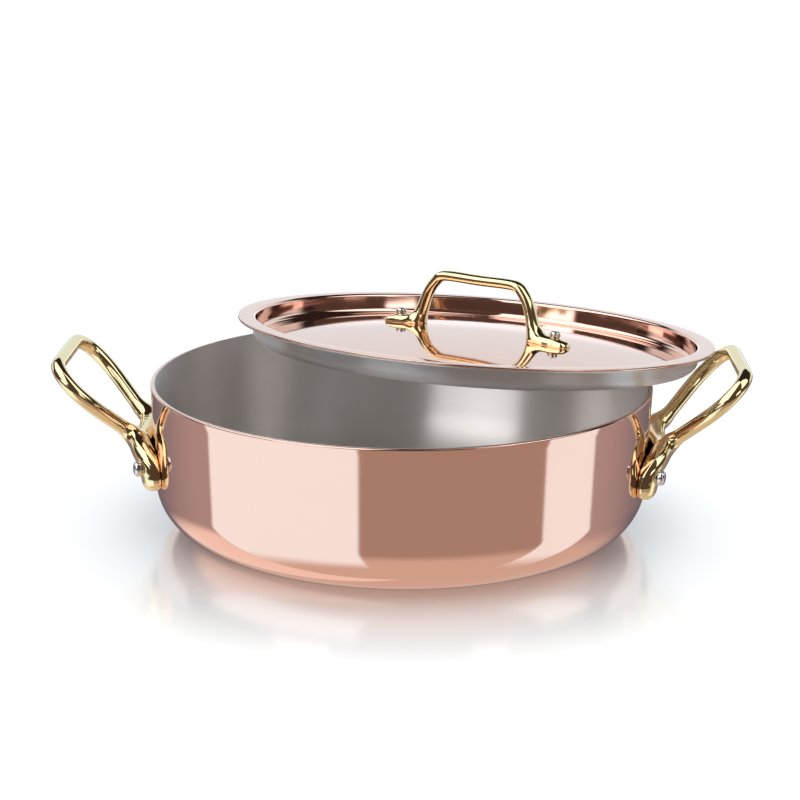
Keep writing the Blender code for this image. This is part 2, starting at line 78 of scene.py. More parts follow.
# Finer layers of the noise in the clouds, and layers and roughness of the noise in the marks
CLOUD_LAYERS = 3.0
PLAIN_MARKS = (4.0, 0.6)
TURNED_MARKS = (3.0, 0.7)

# Share of a turn by which the anisotropy is rotated from its tangent round the axis
HIGHLIGHT_TURN = 0.25

# Sockets of a Mix node for colours: its factor, its two colours and its result
MIX_FACTOR = 0
MIX_FIRST = 6
MIX_SECOND = 7
MIX_RESULT = 2

# Rounds of fixed point steps that lay the points of a side handle flat
UNFOLD_ROUNDS = 5

# Shares of the half width, past a strap's end, at which its round end gets a row
CAP_SHARES = (0.3, 0.55, 0.75, 0.88, 0.96)

# Settling of a casting's skin: the probe's length, the steps, the least slope and the least move
PROBE = 0.00002
NEWTON_STEPS = 4
LEAST_SLOPE = 0.05
LEAST_MOVE = 1e-9

# Smoothing of a casting's skin: the step towards the neighbours' mean and the step back
SMOOTHING_STEPS = (0.50, -0.53)


class Slot(Enum):
    """The record's material slots."""

    COPPER = "copper"
    STEEL = "steel"
    BRASS = "brass"
    RIVET = "rivet_steel"


class Body(Enum):
    """The bodies that a piece can ride on."""

    POT = "pot"
    LID = "lid"


# Curves and surfaces as arrays


def arc_points(centre: tuple[float, float], radius: float, start: float, end: float, steps: int) -> Points:
    """Points on an arc: centre + radius times (cos, sin) of evenly spaced angles.

    Args:
        centre: The arc's centre.
        radius: Its radius.
        start: First angle in degrees, from the first axis towards the second.
        end: Last angle in degrees.
        steps: Number of steps between the two.

    Returns:
        The points, one per row.
    """
    angles = np.radians(np.linspace(start, end, steps + 1))
    return np.stack([centre[0] + radius * np.cos(angles), centre[1] + radius * np.sin(angles)], axis=1)


def smooth_curve(points: Points, steps: int) -> Points:
    """A Catmull-Rom curve: each span is a cubic whose ends lean along the chord of their neighbours.

    Args:
        points: Rows of any dimension that the curve passes through.
        steps: Steps in each span.

    Returns:
        The curve's points.
    """
    padded = np.concatenate([points[:1], points, points[-1:]])
    a, b, c, d = (padded[k:len(padded) - 3 + k, None, :] for k in range(4))
    t = np.linspace(0.0, 1.0, steps, endpoint=False)[None, :, None]
    cubic = 2 * b + (c - a) * t + (2 * a - 5 * b + 4 * c - d) * t**2 + (3 * b - a - 3 * c + d) * t**3
    return np.concatenate([0.5 * cubic.reshape(-1, points.shape[1]), points[-1:]])


def with_mirror(half: Points, column: int) -> Points:
    """Rows that end on the middle plane, then the same backwards with one column's sign turned.

    Args:
        half: The rows of one side.
        column: The column that holds the distance from the middle plane.

    Returns:
        The rows of both sides.
    """
    other = half[-2::-1].copy()
    other[:, column] *= -1.0
    return np.concatenate([half, other])


def relaxed(line: Points, step: float, passes: int) -> Points:
    """An open line with even spacing whose bends are eased by repeated 1-2-1 averages of neighbours.

    Args:
        line: Rows whose first two values are places in a plane. Further values are carried along.
        step: Spacing of the new rows.
        passes: Number of averages.

    Returns:
        The eased line, whose ends stay where they are.
    """
    travelled = np.concatenate([[0.0], np.cumsum(np.linalg.norm(np.diff(line[:, :2], axis=0), axis=1))])
    count = max(int(round(travelled[-1] / step)), 4)
    marks = np.linspace(0.0, travelled[-1], count + 1)
    even = np.stack([np.interp(marks, travelled, column) for column in line.T], axis=1)
    for _ in range(passes):
        even[1:-1] = 0.25 * (even[:-2] + even[2:]) + 0.5 * even[1:-1]
    return even


def ring_faces(rings: int, sides: int) -> Faces:
    """Quads between neighbouring rings of points that are stored ring by ring.

    Args:
        rings: Number of rings.
        sides: Number of points in a ring.

    Returns:
        Four point numbers for each quad.
    """
    i = np.arange(rings - 1)[:, None]
    j = np.arange(sides)[None, :]
    below, beside = i + 1, (j + 1) % sides
    corners = (i * sides + j, i * sides + beside, below * sides + beside, below * sides + j)
    return np.stack(np.broadcast_arrays(*corners), axis=-1).reshape(-1, 4)


def fan_faces(ring: Faces, centre: int, outwards: bool) -> Faces:
    """Triangles from a ring of points to one centre point.

    Args:
        ring: Point numbers round the ring.
        centre: Number of the centre point.
        outwards: False turns the triangles over.

    Returns:
        Three point numbers for each triangle.
    """
    following = np.roll(ring, -1)
    middle = np.full_like(ring, centre)
    order = (ring, following, middle) if outwards else (following, ring, middle)
    return np.stack(order, axis=1)


@dataclass
class Surface:
    """A mesh as arrays: points, quads and triangles."""

    points: Points
    quads: Faces
    triangles: Faces

    def placed(self, matrix: Matrix) -> Surface:
        """The same surface with its points moved by a matrix."""
        m = np.array(matrix)
        return Surface(self.points @ m[:3, :3].T + m[:3, 3], self.quads, self.triangles)

    def joined(self, other: Surface) -> Surface:
        """This surface and another as one.

        Args:
            other: The other surface.

        Returns:
            Both, with the other's points after this one's.
        """
        shift = len(self.points)
        return Surface(
            np.concatenate([self.points, other.points]),
            np.concatenate([self.quads, other.quads + shift]),
            np.concatenate([self.triangles, other.triangles + shift]),
        )

    def to_mesh(self, name: str) -> bpy.types.Mesh:
        """Write the arrays into a new mesh, shaded smooth.

        Args:
            name: The mesh's name.

        Returns:
            The mesh.
        """
        mesh = bpy.data.meshes.new(name)
        loops = np.concatenate([self.quads.ravel(), self.triangles.ravel()]).astype(np.int32)
        sizes = np.concatenate([np.full(len(self.quads), 4), np.full(len(self.triangles), 3)])
        starts = np.concatenate([[0], np.cumsum(sizes)[:-1]]).astype(np.int32)
        mesh.vertices.add(len(self.points))
        mesh.vertices.foreach_set("co", self.points.astype(np.float32).ravel())
        mesh.loops.add(len(loops))
        mesh.loops.foreach_set("vertex_index", loops)
        mesh.polygons.add(len(sizes))
        mesh.polygons.foreach_set("loop_start", starts)
        mesh.update(calc_edges=True)
        mesh.shade_smooth()
        return mesh


def capped_grid(grid: Points, ends: Points) -> Surface:
    """Join rings of points to a closed surface, with a fan of triangles on each end.

    Args:
        grid: An array of rings, sides and coordinates.
        ends: The middle points of the two fans.

    Returns:
        The closed surface.
    """
    rings, sides = grid.shape[:2]
    count = rings * sides
    first = np.arange(sides)
    fans = [fan_faces(first, count, False), fan_faces(first + count - sides, count + 1, True)]
    points = np.concatenate([grid.reshape(-1, 3), ends])
    return Surface(points, ring_faces(rings, sides), np.concatenate(fans))


def revolve(profile: Points, steps: int) -> Surface:
    """Turn an outline that starts and ends on the axis: (r, z) becomes (r cos a, r sin a, z).

    Args:
        profile: Rows of radius and height, from the lower pole out and back to the upper pole, or
            any outline that runs with the solid on its left.
        steps: Steps round the axis.

    Returns:
        The closed surface.
    """
    angles = np.linspace(0.0, 2.0 * math.pi, steps, endpoint=False)
    ring = profile[1:-1]
    radius, height = ring[:, :1], ring[:, 1:]
    grid = np.stack(np.broadcast_arrays(radius * np.cos(angles), radius * np.sin(angles), height), axis=-1)
    poles = np.array([[0.0, 0.0, profile[0, 1]], [0.0, 0.0, profile[-1, 1]]])
    return capped_grid(grid, poles)


def section_points(width: Points, thickness: Points, sides: int, squareness: float) -> Points:
    """Superellipse sections: |x / (w/2)|^p + |y / (t/2)|^p = 1 at evenly spaced angles.

    Args:
        width: Full width of each section.
        thickness: Full thickness of each section.
        sides: Points round a section.
        squareness: The exponent p, which is 2 for an ellipse.

    Returns:
        An array of sections, sides and the two offsets from the middle.
    """
    angle = 2.0 * math.pi * (np.arange(sides) + 0.5) / sides
    c, s = np.cos(angle), np.sin(angle)
    bulge = (np.abs(c) ** squareness + np.abs(s) ** squareness) ** (-1.0 / squareness)
    return 0.5 * np.stack([width[:, None] * c * bulge, thickness[:, None] * s * bulge], axis=-1)


def add_piece(surface: Surface, name: str, body: Body, nodes: tuple[str, ...],
              material: bpy.types.Material) -> bpy.types.Object:
    """Make a finished piece: its object at the origin, its material, and its place in the frame.

    Args:
        surface: The piece's surface, in the pot's frame.
        name: Name of the piece.
        body: The body that it rides on.
        nodes: The nodes that it stands for.
        material: Its material.

    Returns:
        The piece.
    """
    mesh = surface.to_mesh(name)
    mesh.materials.append(material)
    piece = bpy.data.objects.new(name, mesh)
    bpy.context.scene.collection.objects.link(piece)
    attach(piece, body.value)
    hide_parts(*nodes)
    LOG.info("%s: %d faces, rides on %s", piece.name, len(piece.data.polygons), body.value)
    return piece


# Finishes


class NodeBench:
    """Adds and joins the nodes of one material or world."""

    def __init__(self, tree: bpy.types.NodeTree) -> None:
        """Start on a node tree."""
        self.tree = tree

    def add(self, kind: str, **values: object) -> bpy.types.Node:
        """Add a node and set its properties.

        Args:
            kind: The node's type name.
            **values: Properties of the node.

        Returns:
            The node.
        """
        node = self.tree.nodes.new(kind)
        for key, value in values.items():
            setattr(node, key, value)
        return node

    def feed(self, node: bpy.types.Node, socket: str | int, source: object) -> None:
        """Join a source to an input, or set the input to a plain value.

        Args:
            node: The node that is fed.
            socket: Name or number of its input.
            source: Another node's output, or a value.
        """
        if isinstance(source, bpy.types.NodeSocket):
            self.tree.links.new(source, node.inputs[socket])
        else:
            node.inputs[socket].default_value = source

    def math(self, operation: str, *sources: object) -> bpy.types.NodeSocket:
        """One math operation.

        Args:
            operation: The operation's name.
            *sources: Up to three outputs or values.

        Returns:
            The result.
        """
        node = self.add("ShaderNodeMath", operation=operation)
        for index, source in enumerate(sources):
            self.feed(node, index, source)
        return node.outputs[0]

    def ramp(self, source: object, low: float, high: float, to_low: float = 0.0,
             to_high: float = 1.0) -> bpy.types.NodeSocket:
        """Map a range of a source to another range.

        Args:
            source: The value that is mapped.
            low: Where the range starts.
            high: Where it ends.
            to_low: What its start becomes.
            to_high: What its end becomes.

        Returns:
            The mapped value, by a smooth step.
        """
        node = self.add("ShaderNodeMapRange", interpolation_type="SMOOTHSTEP")
        for index, value in enumerate((source, low, high, to_low, to_high)):
            self.feed(node, index, value)
        return node.outputs[0]

    def mix(self, factor: object, first: object, second: object) -> bpy.types.NodeSocket:
        """A mix of two colours.

        Args:
            factor: Share of the second colour.
            first: The first colour.
            second: The second colour.

        Returns:
            The mixed colour.
        """
        node = self.add("ShaderNodeMix", data_type="RGBA")
        self.feed(node, MIX_FACTOR, factor)
        self.feed(node, MIX_FIRST, first)
        self.feed(node, MIX_SECOND, second)
        return node.outputs[MIX_RESULT]

    def noise(self, vector: object, scale: float, detail: float,
              roughness: float = 0.5) -> bpy.types.NodeSocket:
        """Noise at a vector.

        Args:
            vector: The place.
            scale: Cycles per metre.
            detail: Number of finer layers.
            roughness: Strength of the finer layers.

        Returns:
            The noise value.
        """
        node = self.add("ShaderNodeTexNoise")
        self.feed(node, "Vector", vector)
        self.feed(node, "Scale", scale)
        self.feed(node, "Detail", detail)
        self.feed(node, "Roughness", roughness)
        return node.outputs["Fac"]

    def radius(self, x: object, y: object) -> bpy.types.NodeSocket:
        """Distance from an axis: the root of x times x plus y times y."""
        return self.math("SQRT", self.math("ADD", self.math("MULTIPLY", x, x), self.math("MULTIPLY", y, y)))


def rgba(colour: tuple[float, float, float]) -> tuple[float, float, float, float]:
    """A colour with full alpha."""
    return (*colour, 1.0)


@dataclass(frozen=True)
class MetalFinish:
    """A metal: its colour and roughness, both with a cloudy variation, and fine marks as bump.

    The marks are stretched round the axis of the piece when turned is set, as by a polishing lathe,
    and otherwise run every way. Cloud and mark scales are in cycles per metre.
    """

    name: str
    colour: tuple[float, float, float]
    shade: tuple[float, float, float]
    roughness: float
    rough_spread: float
    cloud_scale: float
    mark_scale: float
    mark_depth: float
    turned: bool = False
    anisotropy: float = 0.0
    metallic: float = 1.0

    def build(self, place: Matrix | None = None) -> bpy.types.Material:
        """Make the material.

        Args:
            place: The frame whose Z axis the marks run round, or None for the pot's own frame.

        Returns:
            The material.
        """
        material = bpy.data.materials.new(self.name)
        material.use_nodes = True
        bench = NodeBench(material.node_tree)
        shader = material.node_tree.nodes["Principled BSDF"]
        shader.inputs["Metallic"].default_value = self.metallic
        vector = bench.add("ShaderNodeTexCoord").outputs["Object"]
        if place is not None:
            vector = self.centred(bench, vector, place)
        cloud = bench.noise(vector, self.cloud_scale, CLOUD_LAYERS)
        bench.feed(shader, "Base Color", bench.mix(cloud, rgba(self.shade), rgba(self.colour)))
        marks = self.marks(bench, vector)
        rough = bench.math("MULTIPLY_ADD", marks, self.rough_spread, self.roughness - 0.5 * self.rough_spread)
        bench.feed(shader, "Roughness", bench.math("MULTIPLY_ADD", cloud, 0.5 * self.rough_spread, rough))
        bump = bench.add("ShaderNodeBump")
        bump.inputs["Strength"].default_value = 1.0
        bump.inputs["Distance"].default_value = self.mark_depth
        bench.feed(bump, "Height", marks)
        bench.feed(shader, "Normal", bump.outputs[0])
        if self.anisotropy:
            shader.inputs["Anisotropic"].default_value = self.anisotropy
            shader.inputs["Anisotropic Rotation"].default_value = HIGHLIGHT_TURN
            tangent = bench.add("ShaderNodeTangent", direction_type="RADIAL", axis="Z")
            bench.feed(shader, "Tangent", tangent.outputs[0])
        return material

    def centred(self, bench: NodeBench, vector: bpy.types.NodeSocket, place: Matrix) -> bpy.types.NodeSocket:
        """The vector in another frame, by a Mapping node.

        Args:
            bench: The material's nodes.
            vector: The vector in the pot's frame.
            place: The other frame.

        Returns:
            The vector in that frame.
        """
        mapping = bench.add("ShaderNodeMapping", vector_type="TEXTURE")
        mapping.inputs["Location"].default_value = place.to_translation()
        mapping.inputs["Rotation"].default_value = place.to_euler()
        bench.feed(mapping, "Vector", vector)
        return mapping.outputs[0]

    def marks(self, bench: NodeBench, vector: bpy.types.NodeSocket) -> bpy.types.NodeSocket:
        """The fine marks: noise at (angle, radius, height) if turned, else noise in plain space.

        Args:
            bench: The material's nodes.
            vector: The place on the piece.

        Returns:
            The marks' height.
        """
        if not self.turned:
            return bench.noise(vector, self.mark_scale, *PLAIN_MARKS)
        split = bench.add("ShaderNodeSeparateXYZ")
        bench.feed(split, 0, vector)
        x, y, z = split.outputs
        join = bench.add("ShaderNodeCombineXYZ")
        around = bench.math("MULTIPLY", bench.math("ARCTAN2", y, x), TURNED_STRETCH)
        for index, source in enumerate((around, bench.radius(x, y), z)):
            bench.feed(join, index, source)
        return bench.noise(join.outputs[0], self.mark_scale, *TURNED_MARKS)


COPPER = MetalFinish(
    name="mirror_copper",
    colour=(0.94, 0.64, 0.53),
    shade=(0.92, 0.61, 0.50),
    roughness=0.055,
    rough_spread=0.030,
    cloud_scale=14.0,
    mark_scale=900.0,
    mark_depth=0.0000012,
    turned=True,
)
STEEL = MetalFinish(
    name="brushed_steel",
    colour=(0.82, 0.79, 0.77),
    shade=(0.74, 0.71, 0.69),
    roughness=0.36,
    rough_spread=0.10,
    cloud_scale=20.0,
    mark_scale=2200.0,
    mark_depth=0.000004,
    turned=True,
    anisotropy=1.0,
    metallic=0.82,
)
BRASS = MetalFinish(
    name="polished_brass",
    colour=(0.95, 0.82, 0.48),
    shade=(0.90, 0.75, 0.41),
    roughness=0.07,
    rough_spread=0.03,
    cloud_scale=90.0,
    mark_scale=110.0,
    mark_depth=0.000003,
)
RIVET_STEEL = MetalFinish(
    name="rivet_steel",
    colour=(0.82, 0.80, 0.78),
    shade=(0.70, 0.69, 0.67),
    roughness=0.16,
    rough_spread=0.08,
    cloud_scale=400.0,
    mark_scale=300.0,
    mark_depth=0.000006,
)


# The pot's body


@dataclass
class PotBody:
    """The pot's two bonded sheets, a straight tapered wall on a large bottom round.

    The lip is the radius of the rim's outer round. The three lips after it are those of the copper's
    inner round and of the steel's inner and outer rounds.
    """

    rim_radius: float
    height: float
    foot_radius: float = 0.1182
    fillet: float = 0.0242
    copper: float = 0.00155
    steel: float = 0.00045
    lip: float = 0.00070
    inner_lip: float = 0.0001
    lining_lip: float = 0.00025
    lining_outer_lip: float = 0.00005
    flat_steps: int = 8
    fillet_steps: int = 28
    wall_steps: int = 13
    lip_steps: int = 6
    steps: int = 360

    @classmethod
    def from_frame(cls) -> PotBody:
        """Take the rim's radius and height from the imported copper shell."""
        low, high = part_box("pot_copper_shell")
        return cls(rim_radius=0.5 * (high.x - low.x), height=high.z)

    @property
    def taper(self) -> float:
        """How far the wall leans outwards, as an angle."""
        return math.atan2(self.rim_radius - self.foot_radius, self.height - self.fillet)

    def wall_radius(self, height: Points | float) -> Points | float:
        """Outer radius of the wall at a height, by a straight line from the fillet to the rim."""
        share = (height - self.fillet) / (self.height - self.fillet)
        return self.foot_radius + (self.rim_radius - self.foot_radius) * share

    def line(self, inset: float) -> Points:
        """The outline from the axis to the fillet's top, an inset inwards from the outer face.

        Args:
            inset: Distance from the outer face.

        Returns:
            Rows of radius and height.
        """
        edge = self.foot_radius - self.fillet
        radii = np.linspace(0.0, edge, self.flat_steps + 1)[:-1]
        flat = np.stack([radii, np.full(self.flat_steps, inset)], axis=1)
        fillet = arc_points((edge, self.fillet), self.fillet - inset, -90.0, 0.0, self.fillet_steps)
        return np.concatenate([flat, fillet])

    def sheet(self, outer: float, thickness: float, lip_out: float, lip_in: float) -> Surface:
        """One sheet between two insets, with a rounded lip.

        Args:
            outer: Inset of its outer face.
            thickness: Its thickness.
            lip_out: Radius of the lip's outer round.
            lip_in: Radius of the lip's inner round.

        Returns:
            The closed surface.
        """
        inner = outer + thickness
        wall = np.linspace(self.fillet, self.height - max(lip_out, lip_in), self.wall_steps + 1)[1:-1]
        outside = np.stack([self.wall_radius(wall) - outer, wall], axis=1)
        inside = np.stack([self.wall_radius(wall) - inner, wall], axis=1)
        top = self.wall_radius(self.height)
        centre_out = (top - outer - lip_out, self.height - lip_out)
        centre_in = (top - inner + lip_in, self.height - lip_in)
        round_out = arc_points(centre_out, lip_out, 0.0, 90.0, self.lip_steps)
        round_in = arc_points(centre_in, lip_in, 90.0, 180.0, self.lip_steps)
        up = [self.line(outer), outside, round_out]
        down = [round_in, inside[::-1], self.line(inner)[::-1]]
        return revolve(np.concatenate(up + down), self.steps)

    def build(self, copper: bpy.types.Material, steel: bpy.types.Material) -> bpy.types.Object:
        """Make the copper shell and its steel lining.

        Args:
            copper: The shell's material.
            steel: The lining's material.

        Returns:
            The lining.
        """
        shell = self.sheet(0.0, self.copper, self.lip, self.inner_lip)
        add_piece(shell, "copper_shell", Body.POT, ("pot_copper_shell",), copper)
        lining = self.sheet(self.copper + BOND, self.steel, self.lining_outer_lip, self.lining_lip)
        return add_piece(lining, "steel_lining", Body.POT, ("pot_steel_lining",), steel)


# Side handles


@dataclass
class StrapBend:
    """The side view of a side handle: up along the wall, round a bend, then straight to its end.

    The strap coordinate "along" is 0 where the bend starts, "across" is measured from the handle's
    middle plane, and "off" stands outwards from the strap's middle. The bend starts at the drop
    below the rim, and the strap's middle ends at the reach out from the rim and the rise over it.
    """

    pot: PotBody
    reach: float = 0.0411
    rise: float = 0.0101
    drop: float = 0.0365
    radius: float = 0.018
    thickness: float = 0.0068
    gap: float = 0.0003

    def __post_init__(self) -> None:
        """Work out where the bend and the straight start."""
        low = self.pot.height - self.drop
        taper = self.pot.taper
        self.start = np.array([self.pot.wall_radius(low) + self.gap + self.thickness / 2.0, low])
        self.up = np.array([math.sin(taper), math.cos(taper)])
        self.out = np.array([self.up[1], -self.up[0]])
        self.centre = self.start + self.radius * self.out
        chord = np.array([self.pot.rim_radius + self.reach, self.pot.height + self.rise]) - self.centre
        straight = math.sqrt(float(chord @ chord) - self.radius**2)
        slope = math.atan2(chord[1], chord[0]) - math.atan2(self.radius, straight)
        self.bend_length = self.radius * (math.pi / 2.0 - taper - slope)
        self.length = self.bend_length + straight

    def along_at_drop(self, drop: float) -> float:
        """The strap coordinate on the wall or in the bend at a drop below the rim."""
        rise = (self.pot.height - drop - self.start[1]) / self.up[1]
        return rise if rise <= 0.0 else self.radius * math.asin(min(rise / self.radius, 1.0))

    def follow(self, along: Points) -> Points:
        """Share of the wall's round that the strap follows: 1 on the wall, fading out in the bend."""
        fade = np.clip(along / self.radius, 0.0, 1.0)
        return 1.0 - fade * fade * (3.0 - 2.0 * fade)

    def place(self, along: Points, across: Points, off: Points) -> Points:
        """Strap coordinates to the pot's frame, for the handle on the +X side.

        The side view is start + along * up on the wall, a circle in the bend and a line after it.
        Near the wall, across turns round the pot's axis instead of going straight.

        Args:
            along: Distance along the strap.
            across: Distance from the middle plane.
            off: Distance outwards from the strap's middle.

        Returns:
            The places, with x, y and z last.
        """
        angle = math.pi / 2.0 - self.pot.taper - np.clip(along, 0.0, self.bend_length) / self.radius
        tangent = np.stack([np.cos(angle), np.sin(angle)], axis=-1)
        normal = np.stack([tangent[..., 1], -tangent[..., 0]], axis=-1)
        run = np.where(along <= 0.0, along, np.maximum(along - self.bend_length, 0.0))
        side = self.centre - (self.radius - off)[..., None] * normal + run[..., None] * tangent
        radius, follow = side[..., 0], self.follow(along)
        turn = across / radius
        return np.stack([
            radius * (follow * np.cos(turn) + 1.0 - follow),
            follow * radius * np.sin(turn) + (1.0 - follow) * across,
            side[..., 1],
        ], axis=-1)

    def unfold(self, points: Points) -> tuple[Points, Points, Points]:
        """The pot's frame to strap coordinates, by a few rounds of fixed point steps.

        Args:
            points: Rows of x, y and z.

        Returns:
            The along, across and off of each point.
        """
        radius, across, height = points[:, 0], points[:, 1].copy(), points[:, 2]
        for _ in range(UNFOLD_ROUNDS):
            along, off = self.unbend(radius, height)
            follow = self.follow(along)
            turn = across / radius
            spread = follow * radius * np.sin(turn) + (1.0 - follow) * across
            across = across + (points[:, 1] - spread) / (follow * np.cos(turn) + 1.0 - follow)
            turn = across / radius
            radius = points[:, 0] / (follow * np.cos(turn) + 1.0 - follow)
        along, off = self.unbend(radius, height)
        return along, across, off

    def unbend(self, radius: Points, height: Points) -> tuple[Points, Points]:
        """Side view coordinates to along and off, by the region that each point is in.

        Args:
            radius: Distance from the pot's axis.
            height: Height over the pot's underside.

        Returns:
            The along and off of each point.
        """
        arm = np.stack([radius, height], axis=-1) - self.centre
        distance = np.linalg.norm(arm, axis=-1)
        turned = math.pi / 2.0 - self.pot.taper - np.arctan2(-arm[:, 0], arm[:, 1])
        along = self.radius * turned
        low = along <= 0.0
        far = along >= self.bend_length
        angle = math.pi / 2.0 - self.pot.taper - self.bend_length / self.radius
        tangent = np.array([math.cos(angle), math.sin(angle)])
        normal = np.array([tangent[1], -tangent[0]])
        off = self.radius - distance
        off = np.where(low, self.radius + arm @ self.out, off)
        off = np.where(far, self.radius + arm @ normal, off)
        along = np.where(low, arm @ self.up, along)
        along = np.where(far, self.bend_length + arm @ tangent, along)
        return along, off


def nearest_rows(places: Points, rows: Points) -> Faces:
    """For each place the number of the nearest row, where |q|^2 - 2 p.q is least.

    Args:
        places: Places in a plane.
        rows: The rows to choose from, in the same plane.

    Returns:
        A row number for each place.
    """
    return ((rows**2).sum(axis=1) - 2.0 * places @ rows.T).argmin(axis=1)


@dataclass
class Strap:
    """A cast strap in strap coordinates: an open middle line with a section at each of its rows.

    A row holds along, across, width, thickness and lift, the height of the section's middle over
    the handle's own middle surface.
    """

    line: Points
    squareness: float

    def tube(self, place: Place, sides: int = 28) -> Surface:
        """The strap as a tube.

        Args:
            place: Takes along, across and off to the piece's frame.
            sides: Points round the section.

        Returns:
            The closed surface.
        """
        line = self.capped()
        lean = np.gradient(line[:, :2], axis=0)
        lean = lean / np.linalg.norm(lean, axis=1, keepdims=True)
        section = section_points(line[:, 2], line[:, 3], sides, self.squareness)
        along = line[:, 0, None] - lean[:, 1, None] * section[..., 0]
        across = line[:, 1, None] + lean[:, 0, None] * section[..., 0]
        grid = place(along, across, section[..., 1] + line[:, 4, None])
        return capped_grid(grid, np.stack([grid[0].mean(axis=0), grid[-1].mean(axis=0)]))

    def capped(self) -> Points:
        """The line with rows added past both ends, where the strap rounds off.

        At a share s of the half width past an end, the sizes shrink by (1 - s^p)^(1/p).

        Returns:
            The rows of the line and of both round ends.
        """
        share = np.array(CAP_SHARES)
        shrink = (1.0 - share**self.squareness) ** (1.0 / self.squareness)
        caps = []
        for end, inner in ((self.line[0], self.line[1]), (self.line[-1], self.line[-2])):
            away = (end[:2] - inner[:2]) / np.linalg.norm(end[:2] - inner[:2])
            places = end[:2] + 0.5 * end[2] * share[:, None] * away
            lift = np.full(len(share), end[4])
            caps.append(np.column_stack([places, shrink[:, None] * end[2:4], lift]))
        return np.concatenate([caps[0][::-1], self.line, caps[1]])

    def depth(self, along: Points, across: Points, off: Points) -> Points:
        """How far points lie outside the strap, from the superellipse at the nearest middle point.

        With d the distance to the middle line in the strap's plane, the value is
        ((d / half width)^p + (off / half thickness)^p)^(1/p) - 1, times the smaller half size.

        Args:
            along: Distance along the handle.
            across: Distance across it.
            off: Distance from its own middle surface.

        Returns:
            A depth for each point, negative inside.
        """
        places = np.stack([along, across], axis=-1)
        near = nearest_rows(places, self.line[:, :2])
        last = len(self.line) - 2
        spans, values = [], []
        for first in (np.clip(near - 1, 0, last), np.clip(near, 0, last)):
            start, step = self.line[first], self.line[first + 1] - self.line[first]
            gap = places - start[:, :2]
            share = (gap * step[:, :2]).sum(axis=1) / (step[:, :2] ** 2).sum(axis=1)
            share = np.clip(share, 0.0, 1.0)[:, None]
            span = np.linalg.norm(gap - share * step[:, :2], axis=1)
            width, thickness, lift = (start[:, 2:] + share * step[:, 2:]).T
            side = 2.0 * span / width
            high = 2.0 * np.abs(off - lift) / thickness
            power = (side**self.squareness + high**self.squareness) ** (1.0 / self.squareness)
            spans.append(span)
            values.append(0.5 * (power - 1.0) * np.minimum(width, thickness))
        return np.where(spans[0] < spans[1], *values)


def soft_union(first: Points, second: Points, radius: float) -> Points:
    """The smaller of two depths, with a fillet: min - h (1 - h) radius, h their blend share."""
    share = np.clip(0.5 + 0.5 * (second - first) / radius, 0.0, 1.0)
    return second + (first - second) * share - radius * share * (1.0 - share)


class Casting:
    """A brass casting: straps that melt into each other, with one even skin.

    Each kind of casting sets the size of the fillets between its straps, the step of the grid that
    melts them, the number of smoothing passes and the spacing of the straps' rows.
    """

    blend: float
    voxel: float
    passes: int
    line_step: float

    def straps(self) -> list[Strap]:
        """The straps that it is made of."""
        raise NotImplementedError

    def place(self, along: Points, across: Points, off: Points) -> Points:
        """Strap coordinates to the casting's own frame."""
        raise NotImplementedError

    def unfold(self, points: Points) -> tuple[Points, Points, Points]:
        """The casting's own frame to strap coordinates."""
        raise NotImplementedError

    def below(self, points: Points) -> Points:
        """How far points lie under the face that the casting stands on."""
        raise NotImplementedError

    def strap(self, curve: Points, passes: int, squareness: float, lift: float = 0.0) -> Strap:
        """A strap along a curve of along, across, width and thickness, eased and evenly spaced."""
        line = relaxed(curve, self.line_step, passes)
        return Strap(np.column_stack([line, np.full(len(line), lift)]), squareness)

    def depth(self, straps: list[Strap], points: Points) -> Points:
        """How far points lie outside the casting: its straps joined by fillets and cut at its face.

        Args:
            straps: The casting's straps.
            points: Rows of x, y and z in the casting's own frame.

        Returns:
            A depth for each point, negative inside.
        """
        unfolded = self.unfold(points)
        total = straps[0].depth(*unfolded)
        for strap in straps[1:]:
            total = soft_union(total, strap.depth(*unfolded), self.blend)
        return -soft_union(-total, -self.below(points), CUT_ROUND)

    def settle(self, straps: list[Strap], points: Points) -> Points:
        """Move points onto the casting's surface by Newton steps along the depth's gradient.

        Args:
            straps: The casting's straps.
            points: Points near the surface.

        Returns:
            The moved points. No step was longer than the grid's.
        """
        for _ in range(NEWTON_STEPS):
            value = self.depth(straps, points)
            slope = np.stack([
                (self.depth(straps, points + PROBE * axis) - value) / PROBE for axis in np.eye(3)
            ], axis=1)
            steep = np.maximum((slope**2).sum(axis=1, keepdims=True), LEAST_SLOPE)
            move = value[:, None] * slope / steep
            length = np.linalg.norm(move, axis=1, keepdims=True)
            points = points - move * np.minimum(1.0, self.voxel / np.maximum(length, LEAST_MOVE))
        return points

    def cast(self) -> Surface:
        """The finished casting: tubes melted together on a fine grid, settled and eased.

        Returns:
            The casting's surface, in its own frame.
        """
        straps = self.straps()
        rough = straps[0].tube(self.place)
        for strap in straps[1:]:
            rough = rough.joined(strap.tube(self.place))
        melted = melt(rough, self.voxel)
        melted.points = self.settle(straps, melted.points)
        melted.points = eased(melted, self.passes)
        return melted


